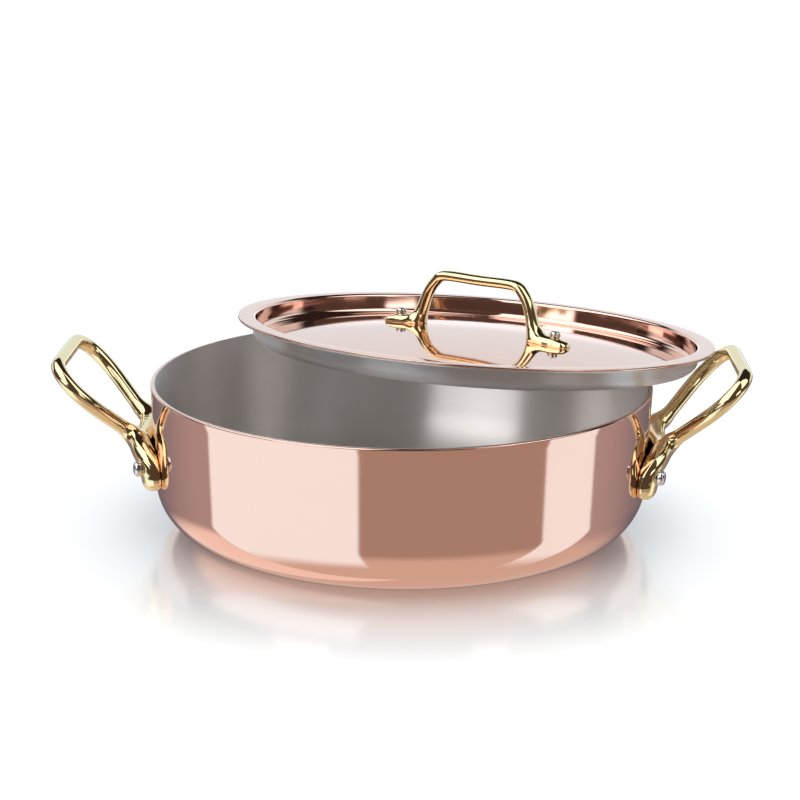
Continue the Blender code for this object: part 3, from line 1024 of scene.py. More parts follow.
@dataclass
class SideHandle(Casting):
    """A cast loop handle: one long grip from lobe to lobe, a web across its foot, and a thin skirt.

    Lengths across are measured from the handle's middle plane. Rises are measured along the strap
    from the web's middle line. The lobe's shares are of its width and its full thickness, at its
    tip, before the rivet, at it and past it. The web's shares are of its hollow and of the arms'
    distance. The frame is the pot's, with the handle on the +X side.
    """

    bend: StrapBend
    neck: float = 0.0035
    arm_width: float = 0.0074
    narrow: float = 0.0205
    wide: float = 0.0345
    widest_share: float = 0.66
    flare: float = 0.9
    corner: float = 0.0130
    end_width: float = 0.0066
    root_rise: float = 0.0064
    root_width: float = 0.0084
    root_thickness: float = 0.0078
    ankle_rise: float = 0.0022
    ankle_spread: float = 0.0236
    ankle_width: float = 0.0100
    ankle_thickness: float = 0.0090
    web_drop: float = 0.0300
    web_width: float = 0.0090
    web_thickness: float = 0.0062
    web_hollow: float = 0.0055
    skirt_rise: float = -0.0034
    skirt_width: float = 0.0136
    skirt_thickness: float = 0.0046
    skirt_spread: float = 0.0290
    lobe_width: float = 0.0130
    lobe_height: float = 0.0082
    lobe_spread: float = 0.0365
    lobe_drop: float = 0.0354
    tip_spread: float = 0.0405
    tip_drop: float = 0.0462
    tip_lift: float = -0.0004
    lobe_shares: tuple[tuple[float, float], ...] = ((0.92, 0.98), (0.98, 1.03), (1.0, 1.04), (0.91, 1.04))
    web_shares: tuple[tuple[float, float], ...] = ((1.0, 0.95), (0.33, 0.61), (0.0, 0.0))
    arm_rows: int = 5
    corner_steps: int = 6
    grip_steps: int = 8
    grip_passes: int = 16
    grip_squareness: float = 2.15
    web_steps: int = 12
    web_passes: int = 6
    web_squareness: float = 2.4
    skirt_rows: int = 9
    skirt_squareness: float = 2.8
    blend: float = 0.0036
    voxel: float = 0.00050
    passes: int = 40
    line_step: float = 0.00075

    @property
    def web(self) -> float:
        """The web's middle line on the strap."""
        return self.bend.along_at_drop(self.web_drop)

    def arm_spread(self, share: Points) -> Points:
        """Distance of an arm from the middle plane, at a share of its way to the widest place."""
        rise = share + self.flare * share * share * (1.0 - share)
        return self.narrow + rise * (self.wide - self.narrow)

    def lobe_rows(self) -> list[list[float]]:
        """Rows of one side from the lobe's rounded tip over its rivet to the ankle and the arm's root.

        Returns:
            Rows of along, across, width, thickness and lift.
        """
        bend = self.bend
        full = 2.0 * self.lobe_height - bend.thickness
        rivet = np.array([bend.along_at_drop(self.lobe_drop), self.lobe_spread])
        tip = np.array([bend.along_at_drop(self.tip_drop), self.tip_spread])
        ankle = np.array([self.web + self.ankle_rise, self.ankle_spread])
        reach = 0.5 * self.lobe_shares[0][0] * self.lobe_width
        end = tip + reach * (rivet - tip) / np.linalg.norm(rivet - tip)
        places = (end, 0.5 * (end + rivet), rivet, 0.5 * (rivet + ankle))
        rows = [
            [*place, wide * self.lobe_width, thick * full, 0.0]
            for place, (wide, thick) in zip(places, self.lobe_shares)
        ]
        rows[0][-1] = self.tip_lift
        rows.append([*ankle, self.ankle_width, self.ankle_thickness, 0.0])
        rows.append([self.web + self.root_rise, self.narrow, self.root_width, self.root_thickness, 0.0])
        return rows

    def loop_rows(self) -> list[list[float]]:
        """Rows of one side from the arm's neck round the corner to the middle of the end bar.

        Returns:
            Rows of along, across, width, thickness and lift.
        """
        bend = self.bend
        neck = bend.bend_length + self.neck
        wide = neck + self.widest_share * (bend.length - neck)
        share = np.linspace(0.0, 1.0, self.arm_rows)
        arm = np.stack([neck + share * (wide - neck), self.arm_spread(share)], axis=1)
        centre = (bend.length - self.corner, self.wide - self.corner)
        corner = arc_points(centre, self.corner, 90.0, 0.0, self.corner_steps)
        return [
            *([*place, self.arm_width, bend.thickness, 0.0] for place in arm),
            [*corner[0], self.arm_width, bend.thickness, 0.0],
            *([*place, self.end_width, bend.thickness, 0.0] for place in corner[1:]),
            [bend.length, 0.0, self.end_width, bend.thickness, 0.0],
        ]

    def grip(self) -> Strap:
        """The casting's main strap: lobe, ankle, arm, end bar, and the same mirrored."""
        curve = smooth_curve(with_mirror(np.array(self.lobe_rows() + self.loop_rows()), 1), self.grip_steps)
        return Strap(relaxed(curve, self.line_step, self.grip_passes), self.grip_squareness)

    def crossbar(self) -> Strap:
        """The web between the arms' roots, hollowed towards the wall in its middle.

        Returns:
            The web's strap.
        """
        half = np.array([
            [self.web + hollow * self.web_hollow, side * self.narrow, self.web_width, self.web_thickness]
            for hollow, side in self.web_shares
        ])
        curve = smooth_curve(with_mirror(half, 1), self.web_steps)
        return self.strap(curve, self.web_passes, self.web_squareness)

    def skirt(self) -> Strap:
        """The thin skirt on the wall between the lobes, below the web.

        Returns:
            The skirt's strap.
        """
        row = [self.web + self.skirt_rise, 0.0, self.skirt_width, self.skirt_thickness]
        rows = np.tile(row, (self.skirt_rows, 1))
        rows[:, 1] = np.linspace(-self.skirt_spread, self.skirt_spread, self.skirt_rows)
        lift = 0.5 * (self.skirt_thickness - self.bend.thickness) - self.bend.gap
        return self.strap(rows, 0, self.skirt_squareness, lift)

    def straps(self) -> list[Strap]:
        """The grip, the web and the skirt."""
        return [self.grip(), self.crossbar(), self.skirt()]

    def place(self, along: Points, across: Points, off: Points) -> Points:
        """Strap coordinates to the pot's frame, pushed out of the pot's wall.

        Args:
            along: Distance along the strap.
            across: Distance from the middle plane.
            off: Distance outwards from the strap's middle.

        Returns:
            The places, with x, y and z last.
        """
        grid = self.bend.place(along, across, off)
        radial = np.hypot(grid[..., 0], grid[..., 1])
        push = np.maximum(self.bend.pot.wall_radius(grid[..., 2]) + SEAT, radial) / radial
        return grid * np.stack([push, push, np.ones_like(push)], axis=-1)

    def unfold(self, points: Points) -> tuple[Points, Points, Points]:
        """The pot's frame to strap coordinates."""
        return self.bend.unfold(points)

    def below(self, points: Points) -> Points:
        """How far points lie inside the pot's wall."""
        return self.bend.pot.wall_radius(points[:, 2]) + SEAT - np.hypot(points[:, 0], points[:, 1])


def eased(surface: Surface, passes: int) -> Points:
    """Points after Taubin smoothing: a step towards the neighbours' mean, then a larger one back.

    Args:
        surface: A surface of quads and triangles.
        passes: Number of pairs of steps.

    Returns:
        The eased points.
    """
    edges = np.concatenate([
        np.stack([faces.ravel(), np.roll(faces, -1, axis=1).ravel()], axis=1)
        for faces in (surface.quads, surface.triangles)
    ])
    count = len(surface.points)
    ends = np.concatenate([edges[:, 0], edges[:, 1]])
    others = np.concatenate([edges[:, 1], edges[:, 0]])
    share = 1.0 / np.maximum(np.bincount(ends, minlength=count), 1)
    points = surface.points.copy()
    for _ in range(passes):
        for step in SMOOTHING_STEPS:
            mean = np.stack([np.bincount(ends, points[others, k], count) for k in range(3)], axis=1)
            points += step * (mean * share[:, None] - points)
    return points


def melt(surface: Surface, voxel: float) -> Surface:
    """Join overlapping closed surfaces into one even skin of quads on a voxel grid.

    Args:
        surface: The overlapping surfaces.
        voxel: The grid's step.

    Returns:
        The skin.
    """
    mesh = surface.to_mesh("rough_casting")
    rough = bpy.data.objects.new("rough_casting", mesh)
    bpy.context.scene.collection.objects.link(rough)
    remesh = rough.modifiers.new("grid", "REMESH")
    remesh.mode = "VOXEL"
    remesh.voxel_size = voxel
    remesh.adaptivity = 0.0
    result = rough.evaluated_get(bpy.context.evaluated_depsgraph_get()).to_mesh()
    points = np.zeros(len(result.vertices) * 3, np.float32)
    result.vertices.foreach_get("co", points)
    corners = np.zeros(len(result.loops), np.int32)
    result.loops.foreach_get("vertex_index", corners)
    sizes = np.zeros(len(result.polygons), np.int32)
    result.polygons.foreach_get("loop_total", sizes)
    starts = np.concatenate([[0], np.cumsum(sizes)[:-1]])
    quads = corners[starts[sizes == 4][:, None] + np.arange(4)]
    triangles = corners[starts[sizes == 3][:, None] + np.arange(3)]
    bpy.data.objects.remove(rough)
    bpy.data.meshes.remove(mesh)
    return Surface(points.reshape(-1, 3).astype(float), quads, triangles)


def build_side_handles(pot: PotBody, brass: bpy.types.Material) -> SideHandle:
    """Cast one side handle and set it on both sides of the pot.

    Args:
        pot: The pot's body.
        brass: The castings' material.

    Returns:
        The handle's sizes.
    """
    handle = SideHandle(StrapBend(pot))
    casting = handle.cast()
    half_turn = Matrix.Rotation(math.pi, 4, "Z")
    add_piece(casting, "right_loop_handle", Body.POT, ("right_handle",), brass)
    add_piece(casting.placed(half_turn), "left_loop_handle", Body.POT, ("left_handle",), brass)
    return handle


# Rivets


@dataclass
class Rivet:
    """A rivet with a cushion shaped head and a flat tail, along its own +Z axis."""

    shank: float
    head: float
    head_height: float
    tail: float
    tail_height: float
    low: float
    high: float
    squareness: float = 2.6
    collar_share: float = 0.30
    edge: float = 0.00035
    edge_steps: int = 5
    dome_steps: int = 24
    steps: int = 48

    def surface(self) -> Surface:
        """The rivet turned from its outline: flat tail, shank, a short collar and a superellipse dome.

        Returns:
            The closed surface.
        """
        collar = self.collar_share * self.head_height
        edge = self.edge
        angles = np.radians(np.linspace(0.0, 90.0, self.dome_steps + 1))
        power = 2.0 / self.squareness
        dome = np.stack([
            self.head * np.cos(angles) ** power,
            self.high + collar + (self.head_height - collar) * np.sin(angles) ** power,
        ], axis=1)
        base = self.low - self.tail_height
        foot = arc_points((self.tail - edge, base + edge), edge, -90.0, 0.0, self.edge_steps)
        rim = arc_points((self.head - edge, self.high + edge), edge, -90.0, 0.0, self.edge_steps)
        straight = np.array([[self.tail, self.low], [self.shank, self.low], [self.shank, self.high]])
        return revolve(np.concatenate([[[0.0, base]], foot, straight, rim, dome]), self.steps)


def build_side_rivets(handle: SideHandle, steel: bpy.types.Material) -> None:
    """Set the four side rivets in their lobes, with their heads down on the brass.

    Args:
        handle: The side handle's sizes.
        steel: The rivets' material.
    """
    pot = handle.bend.pot
    height = pot.height - handle.lobe_drop
    radius = pot.wall_radius(height)
    rivet = Rivet(
        shank=0.0025,
        head=0.0036,
        head_height=0.0034,
        tail=0.0045,
        tail_height=0.0012,
        low=-0.0021,
        high=0.0083,
        squareness=3.0,
    ).surface()
    for side, half_turn, name in (
        (-1, 0, "right_handle_rivet_front"),
        (1, 0, "right_handle_rivet_back"),
        (1, 1, "left_handle_rivet_front"),
        (-1, 1, "left_handle_rivet_back"),
    ):
        angle = side * handle.lobe_spread / radius
        outward = Vector((
            math.cos(angle) * math.cos(pot.taper),
            math.sin(angle) * math.cos(pot.taper),
            -math.sin(pot.taper),
        ))
        spot = Vector((radius * math.cos(angle), radius * math.sin(angle), height))
        place = Matrix.Translation(spot) @ outward.to_track_quat("Z", "Y").to_matrix().to_4x4()
        place = Matrix.Rotation(half_turn * math.pi, 4, "Z") @ place
        label = name.replace("rivet", "round_rivet")
        add_piece(rivet.placed(place), label, Body.POT, (name,), steel)


# The lid


@dataclass
class Lid:
    """The lid's two bonded sheets in its own leaning frame: flange, wall, trough and domed centre.

    Shift and lift place the flange's centre from the centre of the pot's rim.
    """

    pot: PotBody
    shift: tuple[float, float] = (0.0358, 0.0484)
    lift: float = 0.0147
    lean_right: float = math.radians(3.12)
    lean_back: float = math.radians(4.68)
    edge_inset: float = 0.0010
    flange: float = 0.0074
    wall_slope: float = 0.0003
    depth: float = 0.0120
    fillet: float = 0.0050
    dome_rise: float = 0.0085
    shoulder: float = 0.0002
    sheet_full: float = 0.0016
    copper: float = 0.00110
    steel: float = 0.00048
    lip: float = 0.0004
    steel_lip: float = 0.0002
    dome_steps: int = 40
    low_bend_steps: int = 14
    high_bend_steps: int = 12
    flange_rows: int = 3
    lip_steps: int = 5
    steps: int = 360

    @property
    def radius(self) -> float:
        """Radius of the flange's edge."""
        return self.pot.rim_radius - self.edge_inset

    @property
    def wall(self) -> float:
        """Outer radius of the wall that dips into the pot."""
        return self.radius - self.flange

    @property
    def frame(self) -> Matrix:
        """The lid's frame: the centre of its flange, with +Z along its leaning normal.

        Returns:
            The matrix from the lid's frame to the pot's.
        """
        normal = Vector((math.tan(self.lean_right), math.tan(self.lean_back), 1.0)).normalized()
        right = Vector((0.0, 1.0, 0.0)).cross(normal).normalized()
        rotation = Matrix((right, normal.cross(right), normal)).transposed().to_4x4()
        return Matrix.Translation(Vector((*self.shift, self.pot.height + self.lift))) @ rotation

    def line(self, inset: float) -> Points:
        """The outline from the axis to the flange, moved down from the top face by an inset.

        The centre is a parabola, height = rise * (1 - (r / edge)^2), then two arcs and the flange.

        Args:
            inset: Distance below the top face.

        Returns:
            Rows of radius and height.
        """
        trough = -(self.depth - self.sheet_full) - inset
        wall_top = self.wall - self.sheet_full + inset
        fillet = self.fillet - self.sheet_full + inset
        edge = wall_top - self.wall_slope - fillet
        share = np.linspace(0.0, 1.0, self.dome_steps + 1)[:-1]
        dome = np.stack([edge * share, trough + self.dome_rise * (1.0 - share**2)], axis=1)
        straight = self.depth - self.fillet - self.shoulder - self.sheet_full
        slope = math.degrees(math.atan2(self.wall_slope, straight))
        corner = self.shoulder + self.sheet_full - inset
        low = arc_points((edge, trough + fillet), fillet, -90.0, -slope, self.low_bend_steps)
        high = arc_points((wall_top + corner, -inset - corner), corner, 180.0, 90.0, self.high_bend_steps)
        flat = np.linspace(high[-1, 0], self.radius - self.lip, self.flange_rows + 2)[1:-1]
        flange = np.stack([flat, np.full(self.flange_rows, -inset)], axis=1)
        return np.concatenate([dome, low, high, flange])

    def height(self, radius: float | Points) -> float | Points:
        """Height of the domed centre's top face at a radius."""
        edge = self.wall - self.wall_slope - self.fillet
        return -(self.depth - self.sheet_full) + self.dome_rise * (1.0 - (radius / edge) ** 2)

    def sheet(self, inset: float, thickness: float, lip: float) -> Surface:
        """One sheet of the lid with a rounded edge.

        Args:
            inset: Distance of its top face below the lid's top face.
            thickness: Its thickness.
            lip: Radius of the edge's rounds.

        Returns:
            The closed surface.
        """
        upper, lower = self.line(inset), self.line(inset + thickness)
        centre = self.radius - lip
        top = arc_points((centre, -inset - lip), lip, 90.0, 0.0, self.lip_steps)
        low = arc_points((centre, -inset - thickness + lip), lip, 0.0, -90.0, self.lip_steps)
        profile = np.concatenate([upper, top, low, lower[::-1]])
        return revolve(profile[::-1], self.steps)

    def build(self, copper: bpy.types.Material, steel: bpy.types.Material) -> None:
        """Make the copper cover and the steel underside.

        Args:
            copper: The cover's material, with marks round the lid's own axis.
            steel: The underside's material, likewise.
        """
        cover = self.sheet(0.0, self.copper, self.lip).placed(self.frame)
        add_piece(cover, "copper_lid", Body.LID, ("lid_copper_cover",), copper)
        lining = self.sheet(self.copper + BOND, self.steel, self.steel_lip).placed(self.frame)
        add_piece(lining, "steel_lid_lining", Body.LID, ("lid_steel_lining",), steel)


@dataclass
class LidBow(Casting):
    """The lid's cast bow: a hoop with leaning legs and a straight bar, and a domed foot at each end.

    Strap coordinates are the distance out from the middle, the height over the dome, and the
    distance sideways. The frame is the lid's, turned so that the bow runs along X. A leg has a heel
    on the disc, a shin and a knee. Values named share are parts of the height, the thickness, the
    width or the corner.
    """

    lid: Lid
    turn: float = math.radians(-31.0)
    height: float = 0.02862
    top_half: float = 0.0256
    base_half: float = 0.0320
    thickness: float = 0.0053
    width: float = 0.0074
    corner: float = 0.0074
    heel_thickness: float = 0.0080
    heel_width: float = 0.0108
    foot_height: float = 0.0045
    tip_height: float = 0.0037
    foot_width: float = 0.0112
    past_rivet: float = 0.0046
    head_sink: float = 0.0001
    half_spacing: float = 0.0443
    sunk: float = 0.0040
    sunk_out: float = 0.0003
    heel_out: float = 0.0020
    heel_top: float = 0.0010
    shin_in: float = 0.0004
    shin_height_share: float = 0.34
    shin_thickness_share: float = 1.14
    shin_width_share: float = 1.10
    knee_in: float = 0.0002
    knee_height_share: float = 0.68
    corner_divisor: float = 9.0
    corner_drop_share: float = 0.40
    corner_in_share: float = 0.72
    hoop_steps: int = 12
    hoop_passes: int = 12
    hoop_squareness: float = 2.05
    tip_width_share: float = 0.90
    pad_out: float = 0.0010
    pad_in: float = 0.0040
    root_out: float = 0.0048
    root_height_share: float = 2.1
    root_width_share: float = 0.96
    foot_steps: int = 8
    foot_passes: int = 4
    foot_squareness: float = 2.5
    blend: float = 0.0038
    voxel: float = 0.00042
    passes: int = 28
    line_step: float = 0.0006

    def hoop(self) -> Strap:
        """The legs and the bar, with both ends sunk below the disc.

        Returns:
            The hoop's strap.
        """
        top = self.height - self.thickness / 2.0
        middle = 0.5 * (self.base_half + self.top_half)
        foot = self.base_half + self.heel_out
        bend = top - self.corner_drop_share * self.corner
        plain = [self.thickness, self.width]
        shin = [self.shin_thickness_share * self.thickness, self.shin_width_share * self.width]
        half = np.array([
            [foot + self.sunk_out, -self.sunk, self.heel_thickness, self.heel_width],
            [foot, self.heel_top, self.heel_thickness, self.heel_width],
            [self.base_half - self.shin_in, self.shin_height_share * top, *shin],
            [middle - self.knee_in, self.knee_height_share * top, *plain],
            [self.top_half - self.corner / self.corner_divisor, bend, *plain],
            [self.top_half - self.corner_in_share * self.corner, top, *plain],
            [0.0, top, *plain],
        ])
        curve = smooth_curve(with_mirror(half, 0), self.hoop_steps)
        return self.strap(curve, self.hoop_passes, self.hoop_squareness)

    def foot(self, side: int) -> Strap:
        """One foot: a flat strap on the disc, of which only the upper half stands above it.

        Args:
            side: -1 or +1, the end of the bow.

        Returns:
            The foot's strap.
        """
        end = self.half_spacing + self.past_rivet
        root = [self.root_height_share * self.foot_height, self.root_width_share * self.foot_width]
        rows = np.array([
            [end, 0.0, 2.0 * self.tip_height, self.tip_width_share * self.foot_width],
            [self.half_spacing + self.pad_out, 0.0, 2.0 * self.foot_height, self.foot_width],
            [self.half_spacing - self.pad_in, 0.0, 2.0 * self.foot_height, self.foot_width],
            [self.base_half + self.root_out, 0.0, *root],
        ])
        rows[:, 0] *= side
        return self.strap(smooth_curve(rows, self.foot_steps), self.foot_passes, self.foot_squareness)

    def straps(self) -> list[Strap]:
        """The hoop and both feet."""
        return [self.hoop(), self.foot(-1), self.foot(1)]

    def ground(self, out: Points) -> Points:
        """Height of the dome under a place of the bow, level between the legs."""
        return self.lid.height(np.maximum(np.abs(out), self.base_half))

    def place(self, along: Points, across: Points, off: Points) -> Points:
        """Distance out, height over the dome and distance sideways to the bow's frame."""
        return np.stack([along, -off, across + self.ground(along)], axis=-1)

    def unfold(self, points: Points) -> tuple[Points, Points, Points]:
        """The bow's frame to distance out, height over the dome and distance sideways."""
        return points[:, 0], points[:, 2] - self.ground(points[:, 0]), -points[:, 1]

    def below(self, points: Points) -> Points:
        """How far points lie under the dome's top face."""
        return self.lid.height(np.hypot(points[:, 0], points[:, 1])) + SEAT - points[:, 2]

    def build(self, brass: bpy.types.Material, steel: bpy.types.Material) -> None:
        """Make the bow and its two rivets.

        Args:
            brass: The bow's material.
            steel: The rivets' material.
        """
        place = self.lid.frame @ Matrix.Rotation(self.turn, 4, "Z")
        bow = self.cast().placed(place)
        add_piece(bow, "bow_handle", Body.LID, ("lid_handle",), brass)
        step = 0.001
        fall = self.lid.height(self.half_spacing - step) - self.lid.height(self.half_spacing + step)
        slope = math.atan2(fall, 2.0 * step)
        shape = Rivet(
            shank=0.0019,
            head=0.0027,
            head_height=0.0030,
            tail=0.0036,
            tail_height=0.0010,
            low=-0.0017,
            high=self.foot_height - self.head_sink,
        ).surface()
        for side, label in ((-1, "left"), (1, "right")):
            spot = Matrix.Translation((side * self.half_spacing, 0.0, self.lid.height(self.half_spacing)))
            rivet = shape.placed(place @ spot @ Matrix.Rotation(side * slope, 4, "Y"))
            add_piece(rivet, f"lid_round_rivet_{label}", Body.LID, (f"lid_rivet_{label}",), steel)


# Studio


@dataclass(frozen=True)
class StudioPanel:
    """A panel of the surroundings that only reflections see, by azimuth and elevation in degrees.

    Azimuth 0 is towards the viewer and grows to the viewer's right. A mirrored panel stands on both
    sides. The soft values are the widths over which its sides, its foot and its top fade.
    """

    left: float
    right: float
    low: float
    high: float
    colour: tuple[float, float, float]
    mirrored: bool = False
    soft_side: float = 2.0
    soft_low: float = 6.0
    soft_high: float = 6.0


@dataclass
class Studio:
    """The camera, the pale floor, the lamps and the surroundings that the metal mirrors.

    The focal length is in pixels of the frame's width. A ramp of the floor holds the radius where it
    starts and ends, and the shares that it runs from and to. A panel covers those before it.
    """

    distance: float = 1.0
    elevation: float = math.radians(15.2222)
    look_height: float = 0.0604
    look_side: float = -0.0007
    roll: float = math.radians(0.5529)
    azimuth: float = math.radians(1.5)
    focal: float = 2075.5
    frame_width: float = 800.0
    sensor: float = 36.0
    nearest: float = 0.01
    floor_radius: float = 6.0
    floor_middle: float = 0.5
    floor_depth: float = 0.02
    floor_steps: int = 96
    floor_glow: float = 1.14
    # Grey of the matt floor near the pot: a painted shade round the base, darker than the white even where no
    # shadow falls, over the real shadow that it catches
    floor_shade_grey: tuple[float, float, float] = (0.62, 0.60, 0.59)
    floor_roughness: float = 0.16
    shadow_ramp: tuple[float, ...] = (0.095, 0.150, 0.10, 1.0)
    mirror_ramp: tuple[float, ...] = (0.10, 0.215, 0.66, 0.0)
    backdrop: tuple[float, float, float] = (1.0, 1.0, 1.0)
    ambient: tuple[float, float, float] = (0.75, 0.75, 0.75)
    front: tuple[float, float, float] = (0.42, 0.31, 0.27)
    panels: tuple[StudioPanel, ...] = (
        # The room behind the pot
        StudioPanel(96.0, 200.0, -120.0, 120.0, (0.44, 0.36, 0.37), mirrored=True, soft_side=8.0),
        StudioPanel(132.5, 240.0, -120.0, 120.0, (0.17, 0.145, 0.175), mirrored=True, soft_side=65.0),
        # The ground all round, and its paler part on the left, a little behind
        StudioPanel(-240.0, 240.0, -120.0, -34.0, (0.68, 0.54, 0.47), soft_high=20.0),
        StudioPanel(-150.0, -96.0, -120.0, -28.0, (0.96, 0.80, 0.74), soft_side=10.0, soft_high=12.0),
        # Pale panels to the left and the right of the viewer, up to the dark above
        StudioPanel(-96.0, -17.5, -52.0, 20.0, (1.01, 1.16, 1.26), soft_low=22.0),
        StudioPanel(70.5, 100.0, -52.0, 20.0, (1.00, 1.12, 1.20), soft_low=22.0),
        # Dark from near the horizon up
        StudioPanel(-1.0, 104.0, -8.0, 120.0, (0.080, 0.055, 0.046), mirrored=True),
        StudioPanel(100.0, 200.0, -5.0, 120.0, (0.025, 0.018, 0.018), mirrored=True, soft_low=4.0),
        # Pale panels low behind the pot
        StudioPanel(
            112.0, 200.0, -5.0, 17.0, (0.75, 0.82, 0.88), mirrored=True, soft_side=10.0, soft_low=4.0
        ),
        StudioPanel(
            148.0, 200.0, -5.0, 27.0, (0.82, 0.90, 0.96), mirrored=True, soft_side=12.0, soft_low=4.0
        ),
        StudioPanel(152.0, 200.0, -5.0, 1.5, (1.12, 1.14, 1.20), mirrored=True, soft_low=4.0, soft_high=5.0),
        # Bright panels high up on both sides
        StudioPanel(-140.0, -64.0, 30.0, 120.0, (1.70, 1.70, 1.75)),
        StudioPanel(-66.0, -14.5, 25.0, 120.0, (1.70, 1.70, 1.75)),
        StudioPanel(54.0, 100.0, 25.0, 120.0, (1.60, 1.60, 1.65)),
        # Two small lights to the left and the right of the viewer
        StudioPanel(-56.5, -30.0, 9.0, 19.0, (2.2, 2.2, 2.3), soft_side=4.0, soft_low=4.0, soft_high=4.0),
        StudioPanel(34.5, 52.0, 9.0, 19.0, (2.2, 2.2, 2.3), soft_side=4.0, soft_low=4.0, soft_high=4.0),
    )

    def camera(self) -> None:
        """Set the camera at the photograph's place: a long lens, a little above the pot."""
        data = bpy.data.cameras.new("camera")
        data.sensor_width = self.sensor
        data.lens = self.focal * self.sensor / self.frame_width
        data.clip_start = self.nearest
        eye = Vector((
            self.look_side,
            -self.distance * math.cos(self.elevation),
            self.look_height + self.distance * math.sin(self.elevation),
        ))
        forward = Vector((0.0, math.cos(self.elevation), -math.sin(self.elevation)))
        right = Vector((1.0, 0.0, 0.0))
        up = right.cross(forward)
        rolled_right = right * math.cos(self.roll) + up * math.sin(self.roll)
        rolled_up = up * math.cos(self.roll) - right * math.sin(self.roll)
        turn = Matrix((rolled_right, rolled_up, -forward)).transposed().to_4x4()
        camera = bpy.data.objects.new("camera", data)
        camera.matrix_world = Matrix.Rotation(self.azimuth, 4, "Z") @ Matrix.Translation(eye) @ turn
        bpy.context.scene.collection.objects.link(camera)
        bpy.context.scene.camera = camera

    def panel_mask(self, bench: NodeBench, azimuth: bpy.types.NodeSocket, elevation: bpy.types.NodeSocket,
                   panel: StudioPanel) -> bpy.types.NodeSocket:
        """1 inside a panel and 0 outside it, with soft edges.

        Args:
            bench: The world's nodes.
            azimuth: Azimuth of the direction that is looked in.
            elevation: Its elevation.
            panel: The panel.

        Returns:
            The panel's share.
        """
        if panel.mirrored:
            azimuth = bench.math("ABSOLUTE", azimuth)
        side, low, high = 0.5 * panel.soft_side, 0.5 * panel.soft_low, 0.5 * panel.soft_high
        edges = (
            bench.ramp(azimuth, panel.left - side, panel.left + side),
            bench.ramp(azimuth, panel.right + side, panel.right - side),
            bench.ramp(elevation, panel.low - low, panel.low + low),
            bench.ramp(elevation, panel.high + high, panel.high - high),
        )
        mask = edges[0]
        for edge in edges[1:]:
            mask = bench.math("MULTIPLY", mask, edge)
        return mask

    def world(self) -> None:
        """White for the camera, an even soft light for matt surfaces, and panels for reflections."""
        world = bpy.data.worlds.new("studio")
        world.use_nodes = True
        bpy.context.scene.world = world
        bench = NodeBench(world.node_tree)
        world.node_tree.nodes.clear()
        split = bench.add("ShaderNodeSeparateXYZ")
        bench.feed(split, 0, bench.add("ShaderNodeTexCoord").outputs["Generated"])
        x, y, z = split.outputs
        azimuth = bench.math("DEGREES", bench.math("ARCTAN2", x, bench.math("MULTIPLY", y, -1.0)))
        elevation = bench.math("DEGREES", bench.math("ARCSINE", z))
        colour = rgba(self.front)
        for panel in self.panels:
            mask = self.panel_mask(bench, azimuth, elevation, panel)
            colour = bench.mix(mask, colour, rgba(panel.colour))
        path = bench.add("ShaderNodeLightPath")
        colour = bench.mix(path.outputs["Is Camera Ray"], colour, rgba(self.backdrop))
        colour = bench.mix(path.outputs["Is Diffuse Ray"], colour, rgba(self.ambient))
        shader = bench.add("ShaderNodeBackground")
        bench.feed(shader, "Color", colour)
        output = bench.add("ShaderNodeOutputWorld")
        bench.feed(output, "Surface", shader.outputs[0])

    def floor(self) -> None:
        """A pale glossy table top whose mirror image fades out around the pot."""
        profile = [[0.0, 0.0], [self.floor_middle, 0.0], [self.floor_radius, 0.0], [0.0, -self.floor_depth]]
        mesh = revolve(np.array(profile), self.floor_steps).to_mesh("floor")
        floor = bpy.data.objects.new("floor", mesh)
        bpy.context.scene.collection.objects.link(floor)
        floor.visible_glossy = False
        mesh.materials.append(self.floor_material())

    def floor_material(self) -> bpy.types.Material:
        """White that holds a share of the shadow and turns to a darker grey near the pot, a painted shade
        round its base, with a faint reflection near the pot.

        Returns:
            The floor's material.
        """
        material = bpy.data.materials.new("pale_table")
        material.use_nodes = True
        tree = material.node_tree
        tree.nodes.clear()
        bench = NodeBench(tree)
        split = bench.add("ShaderNodeSeparateXYZ")
        bench.feed(split, 0, bench.add("ShaderNodeTexCoord").outputs["Object"])
        x, y, _ = split.outputs
        radius = bench.radius(x, y)
        white = bench.add("ShaderNodeEmission")
        white.inputs["Strength"].default_value = self.floor_glow
        # The matt grey near the pot is painted shade round its base; the matt also catches the pot's real
        # shadow
        matt = bench.add("ShaderNodeBsdfDiffuse")
        matt.inputs["Color"].default_value = rgba(self.floor_shade_grey)
        shade = bench.add("ShaderNodeMixShader")
        path = bench.add("ShaderNodeLightPath")
        plain = bench.ramp(radius, *self.shadow_ramp)
        bench.feed(shade, 0, bench.math("MULTIPLY", path.outputs["Is Camera Ray"], plain))
        bench.feed(shade, 1, matt.outputs[0])
        bench.feed(shade, 2, white.outputs[0])
        gloss = bench.add("ShaderNodeBsdfGlossy")
        gloss.inputs["Roughness"].default_value = self.floor_roughness
        mirror = bench.add("ShaderNodeMixShader")
        bench.feed(mirror, 0, bench.ramp(radius, *self.mirror_ramp))
        bench.feed(mirror, 1, shade.outputs[0])
        bench.feed(mirror, 2, gloss.outputs[0])
        output = bench.add("ShaderNodeOutputMaterial")
        bench.feed(output, "Surface", mirror.outputs[0])
        return material

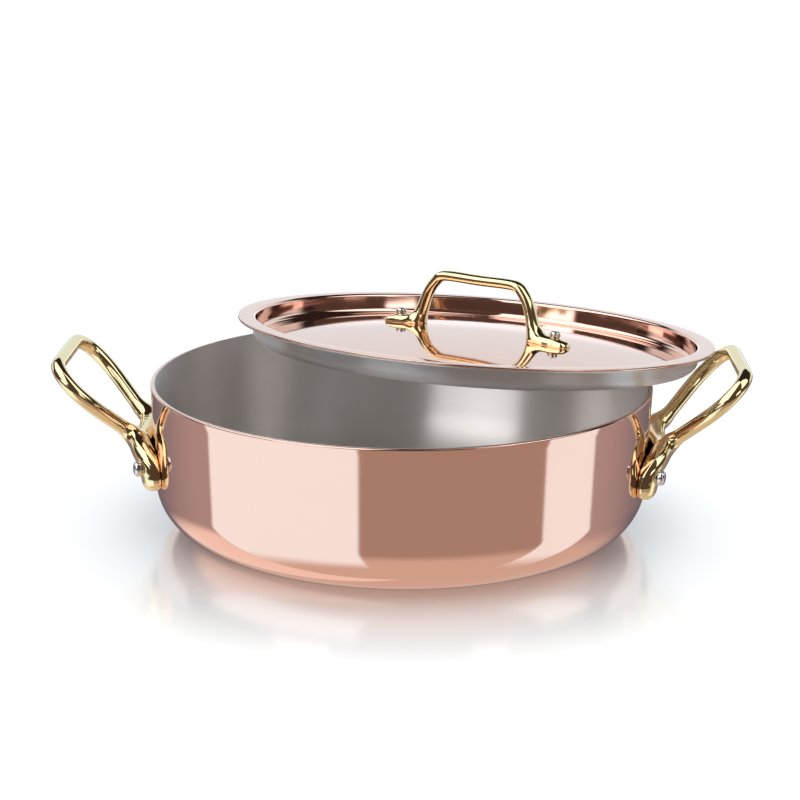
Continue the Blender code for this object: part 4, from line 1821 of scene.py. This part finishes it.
    def area_lamp(self, name: str, place: Vector, facing: Vector, **values: object) -> bpy.types.Object:
        """Add an area lamp.

        Args:
            name: Its name.
            place: Where it hangs.
            facing: The direction from what it lights towards the lamp.
            **values: Its shape, sizes and power.

        Returns:
            The lamp.
        """
        data = bpy.data.lights.new(name, "AREA")
        for key, value in values.items():
            setattr(data, key, value)
        lamp = bpy.data.objects.new(name, data)
        lamp.location = place
        lamp.rotation_euler = facing.to_track_quat("Z", "Y").to_euler()
        bpy.context.scene.collection.objects.link(lamp)
        return lamp

    def light_all(self) -> None:
        """One large soft lamp above, which only matt surfaces answer."""
        place = Vector((-0.2, -0.3, 1.8))
        lamp = self.area_lamp("soft_box", place, place, shape="DISK", size=1.6, energy=14.0)
        lamp.visible_glossy = False

    def light_lining(self, lining: bpy.types.Object) -> None:
        """A wide lamp to the left of the viewer that only the pot's lining answers.

        Args:
            lining: The pot's steel lining.
        """
        azimuth, elevation, distance = math.radians(-40.0), math.radians(17.0), 0.8
        lit_spot = Vector((0.0, 0.0, 0.05))
        facing = Vector((
            math.sin(azimuth) * math.cos(elevation),
            -math.cos(azimuth) * math.cos(elevation),
            math.sin(elevation),
        ))
        place = distance * facing + lit_spot
        lamp = self.area_lamp(
            "side_box", place, facing, shape="RECTANGLE", size=0.70, size_y=0.28, energy=5.6
        )
        answering = bpy.data.collections.new("answers_side_box")
        answering.objects.link(lining)
        lamp.light_linking.receiver_collection = answering

    def build(self) -> None:
        """Set up the whole studio."""
        self.camera()
        self.world()
        self.floor()
        self.light_all()
        bpy.context.scene.view_settings.view_transform = "Standard"


def main() -> None:
    """Build the pot's looks around its frame, piece by piece."""
    logging.basicConfig(level=logging.INFO, format="%(name)s: %(message)s")
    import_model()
    studio = Studio()
    studio.build()
    copper, steel = COPPER.build(), STEEL.build()
    brass, rivet_steel = BRASS.build(), RIVET_STEEL.build()
    pot = PotBody.from_frame()
    studio.light_lining(pot.build(copper, steel))
    handle = build_side_handles(pot, brass)
    build_side_rivets(handle, rivet_steel)
    lid = Lid(pot)
    lid.build(COPPER.build(lid.frame), STEEL.build(lid.frame))
    LidBow(lid).build(brass, rivet_steel)


if __name__ == "__main__":
    main()
